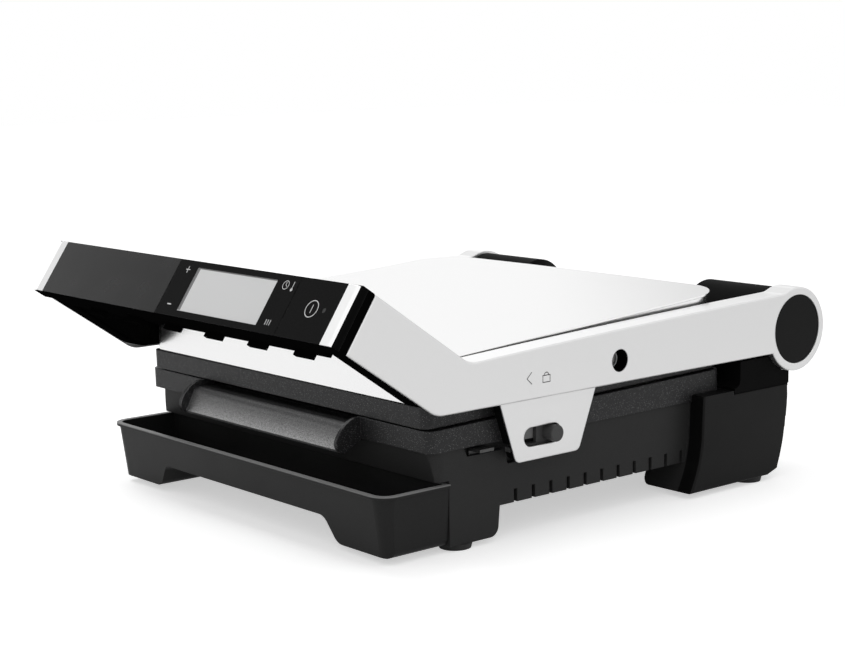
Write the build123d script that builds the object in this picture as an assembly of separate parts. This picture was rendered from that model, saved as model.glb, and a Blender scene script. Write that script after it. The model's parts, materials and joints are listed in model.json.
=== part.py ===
from build123d import *
import os
from math import cos, radians, sin, tan

# Electric contact grill with a floating lid, in millimetres.
# The pieces are drawn with Y measured from the lid's hinge axis, so the front of the grill is at -Y.
# When they are saved they move along Y, so that the origin lies on the counter under the middle.

# Overall sizes
half_width = 180.0         # outer face of each lid arm
hinge_z = 111.0            # hinge axis above the counter
panel_reach = 427.9        # hinge axis to the lower front edge of the control panel
panel_z = 148.5            # that edge above the counter
panel_tilt = 55.5          # control panel face from the horizontal, in degrees
panel_h = 41.8             # control panel face, lower edge to upper edge
seat_gap = 0.15            # between pieces that are fixed to each other
move_gap = 0.4             # between pieces that move past each other
small_edge = 0.4           # chamfer on small turned and pressed pieces
overlap = 1.0              # how far a boss or rib is let into the wall that carries it
far = 600.0                # beyond every face, for cuts that go right through

# Lid arms
arm_w = 19.0
arm_low_z = 95.5           # straight lower edge of an arm
arm_wall = 2.5
arm_lift = 1.5             # arm's lower edge above the panel's lower edge, on the sloping front
arm_low_corner_r = 18.0
arm_top_corner_r = 18.0
arm_top_front_z = 125.6    # top edge where the sloping front begins
arm_top_mid = (-152.0, 133.6)
arm_top_rear = (-8.0, 138.5)
arm_blend_r = 14.0         # where the top edge runs into the round eye
arm_back_set = 12.0        # depth of the black band between the panel face and the arm
arm_edge = 0.8             # chamfer round the arm's outer face
ring_r = 31.0              # round eye at the rear end of each arm
ring_bore_r = 25.5
ring_web_w = 6.0
ring_web_in = 3.0          # inner face of the eye's web from the arm's inner face
cap_w = 2.8
cap_sink = 0.6
liner_wall = 2.0
liner_lift = 4.0           # liner's lower face above the lower edge of the shell
liner_low_r = 28.0
liner_step = 2.4           # how far the liner stands inside the arm in front of the housing
liner_step_lead = 2.0      # and how far in front of the housing that begins

# Hinge
shaft_r = 7.0
shaft_bore_r = 4.5
shaft_run = 0.05           # radial running clearance of the shafts and pivot pins
bush_r = 10.0
barrel_r = 29.0
barrel_set = 92.0          # inner end of each hinge barrel from the arm's outer face
barrel_in = half_width - barrel_set
barrel_edge = 5.5
barrel_cap = 4.0
barrel_web_w = 10.0
barrel_wall = 3.0
nut_across = 22.0
nut_w = 5.0

# Pivots of the floating housing
pivot_y = -187.0
pivot_z = 110.8
pivot_r = 4.0
pivot_head_r = 6.0
pivot_head_w = 5.0
pivot_hole_r = 7.7
pivot_sleeve_wall = 1.0
pivot_head_sink = 8.5      # head's face behind the arm's outer face
hex_across = 5.0
hex_depth = 3.5
bracket_w = 2.0            # sheet of the brackets inside the housing
bracket_boss = 7.0
bracket_boss_r = 6.5
bracket_long = 56.0
bracket_foot = 18.0
bracket_rise = 14.0        # bracket's top above the pivot axis

# Floating upper housing
housing_set = 4.5          # housing's side from the inner face of an arm
housing_x = half_width - arm_w - housing_set
housing_front = -340.0
housing_rear = -54.0
housing_low_z = 97.0
housing_wall = 1.2
housing_front_r = 6.0
housing_rear_r = 31.0
cover_side_over = 1.5      # how far the cover stands past the housing at the sides
cover_over = 2.0           # and in front and behind
cover_front_z = 124.1      # cover's edge at its front
cover_rear_z = 143.6       # cover's edge at its rear
cover_crown = 0.8
cover_skirt = 1.5
cover_wall = 1.0

# Grill plates
plate_front = -341.0
plate_rear = -65.0
plate_tilt = 1.2           # both plates fall towards the spout, in degrees
plate_r = 6.5
plate_web = 4.0
plate_rim = 9.0
upper_plate_over = 3.5     # how far the upper plate stands past the housing
upper_plate_x = housing_x + upper_plate_over
upper_plate_z = 83.0       # lower face of the upper plate's rim, at the front
upper_plate_h = 13.5
lower_plate_over = 3.0     # and the lower plate past the upper one
lower_plate_x = upper_plate_x + lower_plate_over
lower_plate_z = 67.6       # lower face of the lower plate's rim
lower_plate_top = 82.0     # its upper face, at the front
well_depth = 4.2
rib_h = 3.4
rib_foot = 6.0
rib_top = 3.0
rib_pitch = 17.0
rib_set = 14.0             # lower ribs behind the front of the well
rib_root = 0.5             # how far a rib is let into the web
plate_back_in = 1.0        # hollow back's edge inside the well's edge

# Grease spout on the lower plate
spout_in = 69.0            # spout's end walls inside the rim of the plate
spout_x = lower_plate_x - spout_in
spout_wall = 3.0
spout_root = 4.0           # how far the spout is let into the plate's front rim
spout_sill_z = lower_plate_top - well_depth    # where the grease leaves the well
spout_sill_y = -346.0
spout_fall = ((-349.3, 75.9), (-351.2, 72.3))
spout_lip = (-356.9, 61.4)
spout_cheek = ((-345.5, 81.8), (-354.6, 76.9), (-360.7, 68.6))
spout_chin = ((-359.9, 62.8), (-354.6, 59.2))
spout_under_y = -340.0

# Base
base_in = 2.5              # base's side inside the rim of the lower plate
base_x = lower_plate_x - base_in
base_front = -335.5
base_lean = 3.0            # how far the front falls back at the step over the tray
base_rear = -20.0
base_low_z = 24.0
base_top_z = 67.2
base_wall = 2.8
base_r = 9.0
deck_front = -64.0         # rear deck, which closes the base behind the lower plate
deck_z = 70.0
tray_step_y = -322.5       # front of the base where it steps back over the tray
tray_step_z = 47.6
foot_h = 4.0
foot_r = 11.5
foot_taper = 1.0
foot_plug_r = 9.0
foot_sink = 1.5
foot_pad_w = 56.5          # width of a front foot
foot_pad_in = base_x - foot_pad_w
foot_pad_rear = -279.0
foot_lean = 2.0            # how far the foot's rear edge leans forward at the bottom
foot_round = 7.0
vent_w = 3.0
vent_h = 9.0
vent_pitch = 16.1
vent_first_y = -265.0
vent_count = 11
side_screw_set = 9.0       # side screws from the base's outer face
side_screw_y = (-225.0, -150.0)
front_screw_set = 12.0
front_screw = (foot_pad_in - front_screw_set, -300.0)
screw_head_r = 3.6
screw_head_h = 2.0
screw_r = 1.7
screw_len = 12.0
boss_r = 4.2
boss_rib = 2.0
belly_w = 2.0              # thickness of the bottom plate
belly_slot_l = 40.0
belly_slots = 8
belly_slot_pitch = 12.0

# Rear towers
tower_set = 5.4            # tower's side from the outer face of an arm
tower_x = half_width - tower_set
tower_heel_w = 33.0        # how far the tower's foot reaches in under the base
tower_in = base_x - tower_heel_w
tower_front_top = (-95.8, 72.5)
tower_front_mid = (-97.0, 42.0)
tower_front_bow = (-101.3, 21.5)
tower_front_low_y = -109.5
tower_rear_top_y = -2.4
tower_rear_mid = (-4.6, 40.0)
tower_rear_low = (-13.3, 7.5)
tower_heel_y = -24.0
tower_step_y = -63.0       # where the separate cover begins
tower_notch_y = -57.0
tower_notch_z = 74.0
tower_neck_z = 93.0
tower_notch_r = 6.0
tower_cover_set = 6.0
tower_cover_in = barrel_in + tower_cover_set
tower_seam = 0.5
tower_edge = 1.5
foot_set = (10.5, 12.6)    # front and rear foot from the outer side of what they stand under
foot_places = ((base_x - foot_set[0], -309.0), (tower_x - foot_set[1], -34.0))

# Drip tray
tray_over = 0.3            # tray's side past the side of the base
tray_x = base_x + tray_over
tray_front = -377.0
tray_rear = -323.0
tray_rim_z = 45.8
tray_lip = 1.8
tray_lip_h = 2.2
tray_wall = 2.2
tray_draft = 2.0           # how far the side walls lean in
tray_low_x = tray_x - tray_draft
tray_low_z = 4.8
tray_lean = 8.3            # how far the front wall leans back, in degrees
tray_mid_z = 21.9
tray_lobe_w = (54.8, 65.8)  # width of the deep ends at the bottom and at the bend
tray_lobe_in = (tray_x - tray_lobe_w[0], tray_x - tray_lobe_w[1])
tray_r = 11.0
tray_round = 4.5
tray_bend_r = 9.0
tongue_x = 60.0
tongue_w = 22.0
tongue_h = 3.0
tongue_len = 48.0

# Lock on the right arm
tab_set = 7.0              # lock tab's face behind the arm's outer face
tab_x = half_width - tab_set
tab_wall = 1.6
tab_top = (-288.7, -203.3)
tab_top_z = 93.0
tab_low = (-275.6, -218.8)
tab_low_z = 53.5
tab_r = 5.0
slot_front = -268.9
slot_rear = -235.5
slot_h = 13.0
slot_z = 69.0
knob_r = 5.6
knob_reach = 4.2           # knob's face in front of the tab
knob_tip_x = tab_x + knob_reach
knob_rest_y = -242.5
lock_case_set = 3.1        # case's inner face from the side of the base
lock_case_x = base_x + lock_case_set
lock_case_wall = 1.4
slider_w = 3.0
slider_sink = 2.6          # slider's face behind the tab
slider_rail = 1.4          # rails above and below the slot that reach out to the tab
slider_len = 22.0
slider_h = 17.0
nose_front = -277.0
nose_h = 3.0
nose_drop = 0.2            # nose's lower face below the slider's
nose_root = 5.0
case_set = 1.0             # case's edge inside the tab's edge
keeper_y = (-303.0, -291.0)
keeper_w = 2.0
keeper_reach = 4.8         # keeper's tip past the case's inner face
keeper_tip_x = lock_case_x + keeper_reach
recess_depth = 5.0
recess_y = (-310.0, -231.0)
recess_low_y = (-272.0, -238.0)
recess_ledge_z = 61.0
recess_low_z = 51.0

# Control panel, measured on its face: across from the middle, up from the lower edge
tile_w = 1.6
tile_gap = 0.8
trim_w = 6.0
trim_across = 12.5
trim_in_x = half_width - trim_across
power_tile_w = 46.0
tile_seams = (-14.0, trim_in_x - power_tile_w)
trim_r = 5.0
box_depth = 19.0
box_wall = 2.4
box_edge = 1.0
box_rim = 0.4              # black edge that shows above and below the tiles
box_tab_w = 18.5
box_tab_pitch = 49.1
box_tab_back = (-17.5, -14.5)
box_tab_h = 4.0
box_tabs = 6
box_tab_shift = 14.4       # middle of the row from the middle of the panel
window_set = (23.0, 22.5)  # window from the tile's two seams
window_x = (tile_seams[0] + window_set[0], tile_seams[1] - window_set[1])
window_y = (5.0, 37.0)
window_w = 1.3
display_w = 4.0
led_set = 11.0
led_at = (trim_in_x - led_set, 22.1)
led_r = 1.6
led_sink = 0.3
display_over = 4.0         # how far the display module reaches past its window
board_w = 1.6
board_set = 7.5            # control board's end from the trim
board_x = trim_in_x - board_set
board_post_set = 40.0
board_post_x = board_x - board_post_set
board_post_y = 8.0
board_post_r = 2.5
board_chips = ((-60.0, 12.0), (-30.0, 8.0), (40.0, 14.0), (100.0, 8.0))
chip_y = 14.0
chip_h = 1.8

# Heating elements, sensors and wiring
element_r = 3.3
element_set = 38.5         # element's outer run from the side of the housing
element_x = housing_x - element_set
element_front = -308.0
element_rear = -92.0
element_gap_x = 26.0
element_bend_r = 30.0
pan_wall = 1.0
pan_r = 4.0
pan_clear = 1.4            # air between an element and its reflector
pan_in = 1.0               # lower pan inside the hollow back of its plate
pan_over = 1.5             # upper pan past the hollow back of its plate
sensor_r = 7.0
sensor_lead_r = 1.6
sensor_lead = 9.0
fuse_r = 2.6
fuse_len = 16.0
fuse_lead_r = 0.9
fuse_span = 28.0
fuse_set = 30.0            # fuse in front of the element's rear run
cable_r = 2.2
cable_set = 10.0           # cable from the arm's outer face
cable_x = half_width - cable_set
cable_bend_r = 24.0
cable_rise = 40.0          # length over which the cable rises to pass over the pivot
gland_x = 70.0
gland_z = 45.0
gland_r = 9.0
gland_bore_r = 4.5
gland_flange = 2.5
gland_lip = 2.0
terminal_ways = 3
terminal_pitch = 10.0
terminal_w = 14.0
terminal_h = 16.0
terminal_hole_r = 2.0
terminal_set = 15.0
power_x = (-95.0, 10.0)
power_y = (-76.0, -30.0)
power_post_h = 4.0
power_post_in = 4.5
power_blocks = ((-75.0, -45.0, 19.0, 15.0, 15.0), (-50.0, -45.0, 19.0, 15.0, 15.0),
                (-22.0, -42.0, 16.0, 11.0, 12.0), (-60.0, -65.0, 24.0, 10.0, 9.0))
power_cans = ((-4.0, -40.0, 5.0, 14.0), (-4.0, -58.0, 5.0, 14.0))

pieces = {}


def keep(name, shape):
    """File a finished piece under its own name."""
    pieces[name] = shape


def pair(name, shape):
    """File a right-hand piece and its mirror image on the left."""
    keep(name + "_right", shape)
    keep(name + "_left", mirror(shape, about=Plane.YZ))


def block(x, y, z):
    """A rectangular block between two values on each axis."""
    size = (x[1] - x[0], y[1] - y[0], z[1] - z[0])
    return Pos((x[0] + x[1]) / 2, (y[0] + y[1]) / 2, (z[0] + z[1]) / 2) * Box(*size)


def side_view(outline, x0, x1):
    """An outline drawn from the side, in Y and Z, made solid from x0 to x1."""
    return extrude(Plane.YZ.offset(x0) * outline, amount=x1 - x0)


def front_view(outline, y0, y1):
    """An outline drawn from the front, in X and Z, made solid from y0 to y1."""
    return extrude(Plane.XZ.offset(-y1) * outline, amount=y1 - y0)


def plan_view(outline, z0, z1):
    """An outline drawn from above, in X and Y, made solid from z0 to z1."""
    return extrude(Plane.XY.offset(z0) * outline, amount=z1 - z0)


def bar(radius, x0, x1, y, z):
    """A round bar along X."""
    return Pos((x0 + x1) / 2, y, z) * Rot(0, 90, 0) * Cylinder(radius, abs(x1 - x0))


def post(radius, x, y, z0, z1):
    """A round bar along Z."""
    return Pos(x, y, (z0 + z1) / 2) * Cylinder(radius, z1 - z0)


def near(shape, point):
    """The corner of a flat outline that lies nearest to a point."""
    return shape.vertices().sort_by_distance(Vector(point[0], point[1], 0))[0]


def rounded(x, y0, y1, radius):
    """A rounded rectangle seen from above, from -x to x."""
    return Pos(0, (y0 + y1) / 2) * RectangleRounded(2 * x, y1 - y0, radius)


# The panel's own frame: X across, Y up its face, Z out of it
panel_slope = radians(panel_tilt)
panel_up = Vector(0, cos(panel_slope), sin(panel_slope))
panel_out = Vector(0, -sin(panel_slope), cos(panel_slope))
panel = Plane(origin=(0, -panel_reach, panel_z), x_dir=(1, 0, 0), z_dir=panel_out)


def on_panel(x, y, z):
    """A block on the panel's frame, between two values on each axis."""
    return panel * block(x, y, z)


def panel_point(up, back):
    """Side-view place of a point up the panel's face and back behind it."""
    spot = Vector(0, -panel_reach, panel_z) + panel_up * up - panel_out * back
    return (spot.Y, spot.Z)


# Lid arms
arm_in = half_width - arm_w
slope_dir = (-panel_out.Y, -panel_out.Z)


def along_slope(start, z):
    """The point where the sloping front's edge, which passes start, reaches the height z."""
    reach = (z - start[1]) / slope_dir[1]
    return (start[0] + reach * slope_dir[0], z)


def arm_outline(sink, low_z, low_r):
    """Side view of an arm, with its top edge lowered by sink."""
    low_front = panel_point(arm_lift, arm_back_set)
    top_front = panel_point(panel_h - sink, arm_back_set)
    low_bend = along_slope(low_front, low_z)
    top_bend = along_slope(top_front, arm_top_front_z - sink)
    mid = (arm_top_mid[0], arm_top_mid[1] - sink)
    rear = (arm_top_rear[0], arm_top_rear[1] - sink)
    low_rear = (arm_top_rear[0], low_z)
    edges = Polyline(rear, low_rear, low_bend, low_front, top_front, top_bend)
    face = make_face(edges + ThreePointArc(top_bend, mid, rear))
    face = fillet(near(face, low_bend), low_r)
    return fillet(near(face, top_bend), arm_top_corner_r)


arm_side = arm_outline(0, arm_low_z, arm_low_corner_r)
arm_under = arm_outline(arm_wall, arm_low_z, arm_low_corner_r)
liner_side = arm_outline(arm_wall, arm_low_z + liner_lift, liner_low_r)
eye = bar(ring_r, arm_in, half_width, 0, hinge_z)


def arm_shell():
    """The silver outer shell: outer side, top edge and the rear eye, open below and inside."""
    face = arm_side + Pos(0, hinge_z) * Circle(ring_r)
    meeting = near(face, (-(ring_r ** 2 - (arm_top_rear[1] - hinge_z) ** 2) ** 0.5, arm_top_rear[1]))
    shell = side_view(fillet(meeting, arm_blend_r), arm_in, half_width)
    shell -= side_view(arm_under, arm_in, half_width - arm_wall)
    shell += eye
    web_in = arm_in + ring_web_in
    shell -= bar(ring_bore_r, arm_in, web_in, 0, hinge_z)
    shell -= bar(ring_bore_r, web_in + ring_web_w, half_width, 0, hinge_z)
    shell -= bar(shaft_r, arm_in, half_width, 0, hinge_z)
    shell -= bar(pivot_hole_r, arm_in, half_width, pivot_y, pivot_z)
    face = shell.faces().sort_by(Axis.X)[-1]
    return chamfer(face.outer_wire().edges(), arm_edge)


def arm_liner():
    """The black liner: a shallow open box that closes the arm from inside and below."""
    skin = half_width - arm_wall - seat_gap
    outline = offset(liner_side, -seat_gap, kind=Kind.INTERSECTION)
    inner = offset(liner_side, -seat_gap - liner_wall, kind=Kind.INTERSECTION)
    liner = side_view(outline, arm_in, skin)
    liner -= side_view(inner, arm_in + liner_wall, skin)
    front_end = housing_front - cover_over - move_gap - liner_step_lead
    front_half = block((0, half_width), (-far, front_end), (0, far))
    raised = offset(liner_side, -liner_step, kind=Kind.INTERSECTION)
    liner += side_view(raised, arm_in - liner_step, arm_in + overlap) & front_half
    liner -= bar(ring_r + seat_gap, 0, half_width, 0, hinge_z)
    sleeve_r = pivot_hole_r - seat_gap
    liner += bar(sleeve_r, arm_in, half_width - arm_edge, pivot_y, pivot_z)
    head_x = half_width - pivot_head_sink - pivot_head_w
    liner -= bar(pivot_r, 0, half_width, pivot_y, pivot_z)
    liner -= bar(sleeve_r - pivot_sleeve_wall, head_x, half_width, pivot_y, pivot_z)
    return liner


pair("arm_shell", arm_shell())
pair("arm_liner", arm_liner())

cap_out = half_width - cap_sink
hinge_cap = bar(ring_bore_r - seat_gap, cap_out - cap_w, cap_out, 0, hinge_z)
pair("hinge_cap", chamfer(hinge_cap.faces().sort_by(Axis.X)[-1].edges(), small_edge))

# Hinge shafts, their nuts and the bushes they turn in
barrel_out = arm_in - move_gap
web_out = arm_in + ring_web_in + ring_web_w
shaft_in = barrel_in + barrel_cap + move_gap
hinge_shaft = bar(shaft_r, shaft_in, web_out + nut_w, 0, hinge_z)
pair("hinge_shaft", hinge_shaft - bar(shaft_bore_r, 0, half_width, 0, hinge_z))

nut_outline = Plane.YZ.offset(web_out) * Pos(0, hinge_z) * RegularPolygon(nut_across / 2, 6, False)
hinge_nut = extrude(nut_outline, amount=nut_w) - bar(shaft_r, 0, half_width, 0, hinge_z)
keep("hinge_nuts", Compound([hinge_nut, mirror(hinge_nut, about=Plane.YZ)]))


def bush(x0, x1):
    """A plain bearing bush round the hinge shaft."""
    return bar(bush_r, x0, x1, 0, hinge_z) - bar(shaft_r + shaft_run, 0, half_width, 0, hinge_z)


web_1 = (barrel_in + barrel_cap, barrel_in + barrel_cap + barrel_web_w)
web_2 = (barrel_out - barrel_web_w, barrel_out)
pair("hinge_bushes", Compound([bush(*web_1), bush(*web_2)]))


# Base shell
def tower_outline():
    """Side view of a rear tower, up to the height where its cover begins."""
    low_front = (tower_front_low_y, foot_h)
    heel = (tower_heel_y, foot_h)
    rear_top = (tower_rear_top_y, deck_z)
    step = (tower_step_y, deck_z)
    step_top = (tower_step_y, tower_front_top[1])
    edges = Polyline(rear_top, step, step_top, tower_front_top, tower_front_mid)
    edges += ThreePointArc(tower_front_mid, tower_front_bow, low_front)
    edges += Polyline(low_front, heel, tower_rear_low)
    return make_face(edges + ThreePointArc(tower_rear_low, tower_rear_mid, rear_top))


def foot_outline():
    """Side view of a front foot."""
    top = base_low_z + overlap
    heel = (foot_pad_rear - foot_lean, foot_h)
    face = make_face(Polyline((foot_pad_rear, top), heel, (tray_step_y, foot_h), (tray_step_y, top),
                              (foot_pad_rear, top)))
    return fillet(near(face, heel), foot_round)


def base_shell():
    """The moulded base: side walls, two front feet, rear deck and two rear towers, all hollow."""
    across = (-far, far)
    inside_r = base_r - base_wall
    plan = rounded(base_x, base_front, base_rear, base_r)
    inside_front = base_front + base_lean + base_wall
    inside = rounded(base_x - base_wall, inside_front, base_rear - base_wall, inside_r)
    front = make_face(Polyline((base_front, base_top_z), (base_front + base_lean, tray_step_z),
                               (-far, tray_step_z), (-far, base_top_z), (base_front, base_top_z)))
    deck_low = deck_z - base_wall
    shell = plan_view(plan, base_low_z, base_top_z) - side_view(front, -far, far)
    shell += block((-base_x, base_x), (deck_front, base_rear), (deck_low, deck_z))
    hollow = plan_view(inside, base_low_z, base_top_z) - block(across, (deck_front, far), (deck_low, far))
    shell -= block(across, (-far, tray_step_y), (0, tray_step_z))
    hollow -= block(across, (-far, tray_step_y + base_wall), (0, tray_step_z + base_wall))
    foot = side_view(foot_outline(), foot_pad_in, base_x)
    foot_hollow = block((foot_pad_in + base_wall, base_x - base_wall),
                        (tray_step_y + base_wall, foot_pad_rear - foot_lean - base_wall),
                        (foot_h + base_wall, base_low_z + 2 * overlap))
    tower = side_view(tower_outline(), tower_in, tower_x)
    inner_low = tower.edges().filter_by(Axis.Y).group_by(Axis.Z)[0].sort_by(Axis.X)[0]
    tower = fillet(inner_low, foot_round)
    outer = tower.faces().sort_by(Axis.X)[-1].edges()
    tower = fillet([edge for edge in outer if edge.center().Z < tower_front_top[1] - overlap], tower_edge)
    tower_hollow = side_view(offset(tower_outline(), -base_wall, kind=Kind.INTERSECTION),
                             tower_in + base_wall, tower_x - base_wall)
    tower_hollow += block((tower_in + base_wall, tower_x - base_wall),
                          (tower_step_y + base_wall, tower_rear_top_y - 2 * base_wall), (base_low_z, far))
    for side in (foot, tower):
        shell += side + mirror(side, about=Plane.YZ)
    shell -= hollow
    for side in (foot_hollow, tower_hollow):
        shell -= side + mirror(side, about=Plane.YZ)
    seat_x = lower_plate_x + seat_gap
    shell -= block((-seat_x, seat_x), (-far, plate_rear + move_gap), (base_top_z, far))
    for number in range(vent_count):
        y = vent_first_y + number * vent_pitch
        shell -= block(across, (y - vent_w / 2, y + vent_w / 2), (base_low_z, base_low_z + vent_h)) - block(
            (-base_x + base_wall, base_x - base_wall), across, across)
    return shell


base = base_shell()


# Covers of the rear towers, with the hinge barrels
def hinge_tower():
    """A tower's upper cover, which carries the barrel that the hinge shaft turns in."""
    outline = make_face(Polyline(
        (tower_rear_top_y, deck_z), (tower_rear_top_y, tower_neck_z), (tower_notch_y, tower_neck_z),
        (tower_notch_y, tower_notch_z), (tower_step_y, tower_notch_z), (tower_step_y, deck_z),
        (tower_rear_top_y, deck_z)))
    outline = fillet(near(outline, (tower_notch_y, tower_notch_z)), tower_notch_r)
    cover = side_view(outline, tower_cover_in, tower_x)
    inner = block((tower_cover_in + barrel_wall, tower_x - barrel_wall),
                  (tower_notch_y + barrel_wall, tower_rear_top_y - barrel_wall),
                  (deck_z, hinge_z - barrel_r - barrel_wall / 2))
    barrel = bar(barrel_r, barrel_in, barrel_out, 0, hinge_z)
    barrel = chamfer(barrel.faces().sort_by(Axis.X)[0].edges(), barrel_edge)
    cover = cover - inner + barrel
    seam_z = (deck_z, deck_z + tower_seam)
    cover -= block((tower_x - tower_seam, far), (-far, far), seam_z)
    cover -= block((0, far), (tower_rear_top_y - tower_seam, far), seam_z)
    cover -= bar(barrel_r - barrel_wall, web_1[1], web_2[0], 0, hinge_z)
    cover -= bar(bush_r, web_1[0], web_2[1], 0, hinge_z)
    cover -= bar(ring_r + move_gap, barrel_out, half_width, 0, hinge_z)
    return cover - side_view(arm_side, barrel_out, half_width)


pair("hinge_tower", hinge_tower())


# Bottom plate, rubber feet and screws
def bottom_plate():
    """The flat plate that closes the base from below, with two rows of vents."""
    inside = base_x - base_wall - seat_gap
    y = (tray_step_y + base_wall + seat_gap, base_rear - base_wall - seat_gap)
    plate = block((-inside, inside), y, (base_low_z, base_low_z + belly_w))
    feet = block((foot_pad_in - seat_gap, far), (-far, foot_pad_rear + seat_gap), (0, far))
    towers = block((tower_in - seat_gap, far), (tower_front_bow[0] - seat_gap, far), (0, far))
    for corner in (feet, towers):
        plate -= corner + mirror(corner, about=Plane.YZ)
    for row in (-1, 1):
        y = (plate_front + plate_rear) / 2 + row * belly_slot_l
        for number in range(belly_slots):
            x = (number - (belly_slots - 1) / 2) * belly_slot_pitch
            plate -= block((x - vent_w / 2, x + vent_w / 2),
                           (y - belly_slot_l / 2, y + belly_slot_l / 2), (0, far))
    return plate


def both_sides(shape):
    """A piece and its mirror image, as a group."""
    return [shape, mirror(shape, about=Plane.YZ)]


rubber_feet = []
for x, y in foot_places:
    foot = Pos(x, y, foot_h / 2) * Cone(foot_r - foot_taper, foot_r, foot_h)
    foot += post(foot_plug_r, x, y, foot_h, foot_h + foot_sink - seat_gap)
    rubber_feet += both_sides(foot)
    socket = post(foot_plug_r + seat_gap, x, y, foot_h - overlap, foot_h + foot_sink)
    base -= socket + mirror(socket, about=Plane.YZ)
keep("rubber_feet", Compound(rubber_feet))

belly = bottom_plate()
base_screws = []
boss_z = (base_low_z + belly_w, base_low_z + belly_w + screw_len + overlap)
rib_z = (base_low_z + belly_w, base_low_z + screw_len)
bosses = [(front_screw, block((front_screw[0] - boss_rib / 2, front_screw[0] + boss_rib / 2),
                              (tray_step_y + overlap, front_screw[1]), rib_z))]
side_screw_x = base_x - side_screw_set
for y in side_screw_y:
    bosses.append(((side_screw_x, y), block((side_screw_x, base_x - overlap),
                                            (y - boss_rib / 2, y + boss_rib / 2), rib_z)))
for (x, y), rib in bosses:
    boss = post(boss_r, x, y, *boss_z) + rib - post(screw_r, x, y, base_low_z, boss_z[0] + screw_len)
    base += boss + mirror(boss, about=Plane.YZ)
    screw = post(screw_head_r, x, y, base_low_z - screw_head_h, base_low_z)
    screw += post(screw_r, x, y, base_low_z, boss_z[0] + screw_len - overlap)
    base_screws += both_sides(screw)
    hole = post(screw_r + seat_gap, x, y, base_low_z - overlap, boss_z[0] + overlap)
    belly -= hole + mirror(hole, about=Plane.YZ)
keep("base_screws", Compound(base_screws))
keep("bottom_plate", belly)


# Grill plates
plate_fall = (plate_rear - plate_front) * tan(radians(plate_tilt))


def sloped(shape):
    """Turn a piece of the plates, drawn level, to the slope at which grease runs to the spout."""
    pivot = (0, plate_front, lower_plate_top)
    return Pos(*pivot) * Rot(plate_tilt, 0, 0) * Pos(0, -plate_front, -lower_plate_top) * shape


def lid_plan(x, y0, y1, inset):
    """Plan of the floating housing and its cover, with larger corners at the rear."""
    grown = x - housing_x
    face = Pos(0, (y0 + y1) / 2) * Rectangle(2 * (x - inset), y1 - y0 - 2 * inset)
    rear = [near(face, (side * x, y1)) for side in (-1, 1)]
    face = fillet(rear, housing_rear_r + grown - inset)
    front = [near(face, (side * x, y0)) for side in (-1, 1)]
    return fillet(front, housing_front_r + grown - inset)


def plate_block(x, z0, z1):
    """The outer block of a cast plate."""
    return plan_view(rounded(x, plate_front, plate_rear, plate_r), z0, z1)


def ribs(z_foot, z_tip, inside):
    """Grill ribs from front to rear, tapered from foot to tip."""
    foot, tip = rib_foot / 2, rib_top / 2
    rib_count = int((2 * well_x - rib_foot) / rib_pitch)
    all_ribs = []
    for number in range(rib_count):
        x = (number - (rib_count - 1) / 2) * rib_pitch
        outline = Polyline((x - foot, z_foot), (x - tip, z_tip), (x + tip, z_tip), (x + foot, z_foot),
                           (x - foot, z_foot))
        all_ribs.append(front_view(make_face(outline), *inside))
    return all_ribs


well_y = (plate_front + plate_rim, plate_rear - plate_rim)
well_x = upper_plate_x - plate_rim
well_plan = rounded(well_x, *well_y, plate_r)
back_plan = rounded(well_x - plate_back_in, well_y[0] + plate_back_in, well_y[1] - plate_back_in, plate_r)


def upper_plate():
    """The upper plate: cast, with a ribbed face below and an open back that the housing covers."""
    top = upper_plate_z + upper_plate_h
    floor_z = upper_plate_z + well_depth
    plate = plate_block(upper_plate_x, upper_plate_z, top)
    plate -= plan_view(well_plan, upper_plate_z, floor_z)
    plate -= plan_view(back_plan, floor_z + plate_web, top)
    for rib in ribs(floor_z + rib_root, floor_z - rib_h, well_y):
        plate += rib
    inside = lid_plan(housing_x, housing_front, housing_rear, housing_wall + seat_gap)
    return sloped(plate) - (block((-far, far), (-far, far), (top, far)) - plan_view(inside, top, far))


def spout_side():
    """Side view of the spout's end walls: a rounded cheek over a chin."""
    root = plate_front + spout_root
    top, cheek, nose = spout_cheek
    chin, low = spout_chin
    start = (root, top[1])
    edges = ThreePointArc(top, cheek, nose) + ThreePointArc(nose, chin, low)
    edges += Polyline(low, (spout_under_y, lower_plate_z), (root, lower_plate_z), start, top)
    return make_face(edges)


def trough():
    """Side view of what is open between the end walls: from the sill down to the lip."""
    start = (well_y[0] + overlap, spout_sill_z)
    sill = (spout_sill_y, spout_sill_z)
    high = spout_cheek[0][1] + overlap
    front = spout_cheek[2][0] - overlap
    low = spout_chin[1][1] - overlap
    edges = Line(start, sill) + ThreePointArc(sill, *spout_fall)
    edges += Polyline(spout_fall[1], spout_lip, (spout_lip[0], low), (front, low), (front, high),
                      (start[0], high), start)
    return make_face(edges)


def lower_plate():
    """The lower plate: ribbed face above and a deep rim, with the grease spout at the front."""
    floor_z = lower_plate_top - well_depth
    plate = plate_block(lower_plate_x, lower_plate_z - plate_fall, lower_plate_top)
    plate -= plan_view(well_plan, floor_z, lower_plate_top)
    plate -= plan_view(back_plan, lower_plate_z - plate_fall, floor_z - plate_web)
    for rib in ribs(floor_z - rib_root, floor_z + rib_h, (well_y[0] + rib_set, well_y[1])):
        plate += rib
    plate = sloped(plate) & block((-far, far), (-far, far), (lower_plate_z, far))
    plate += side_view(spout_side(), -spout_x, spout_x)
    return plate - side_view(trough(), -spout_x + spout_wall, spout_x - spout_wall)


keep("upper_plate", upper_plate())
keep("lower_plate", lower_plate())


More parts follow.
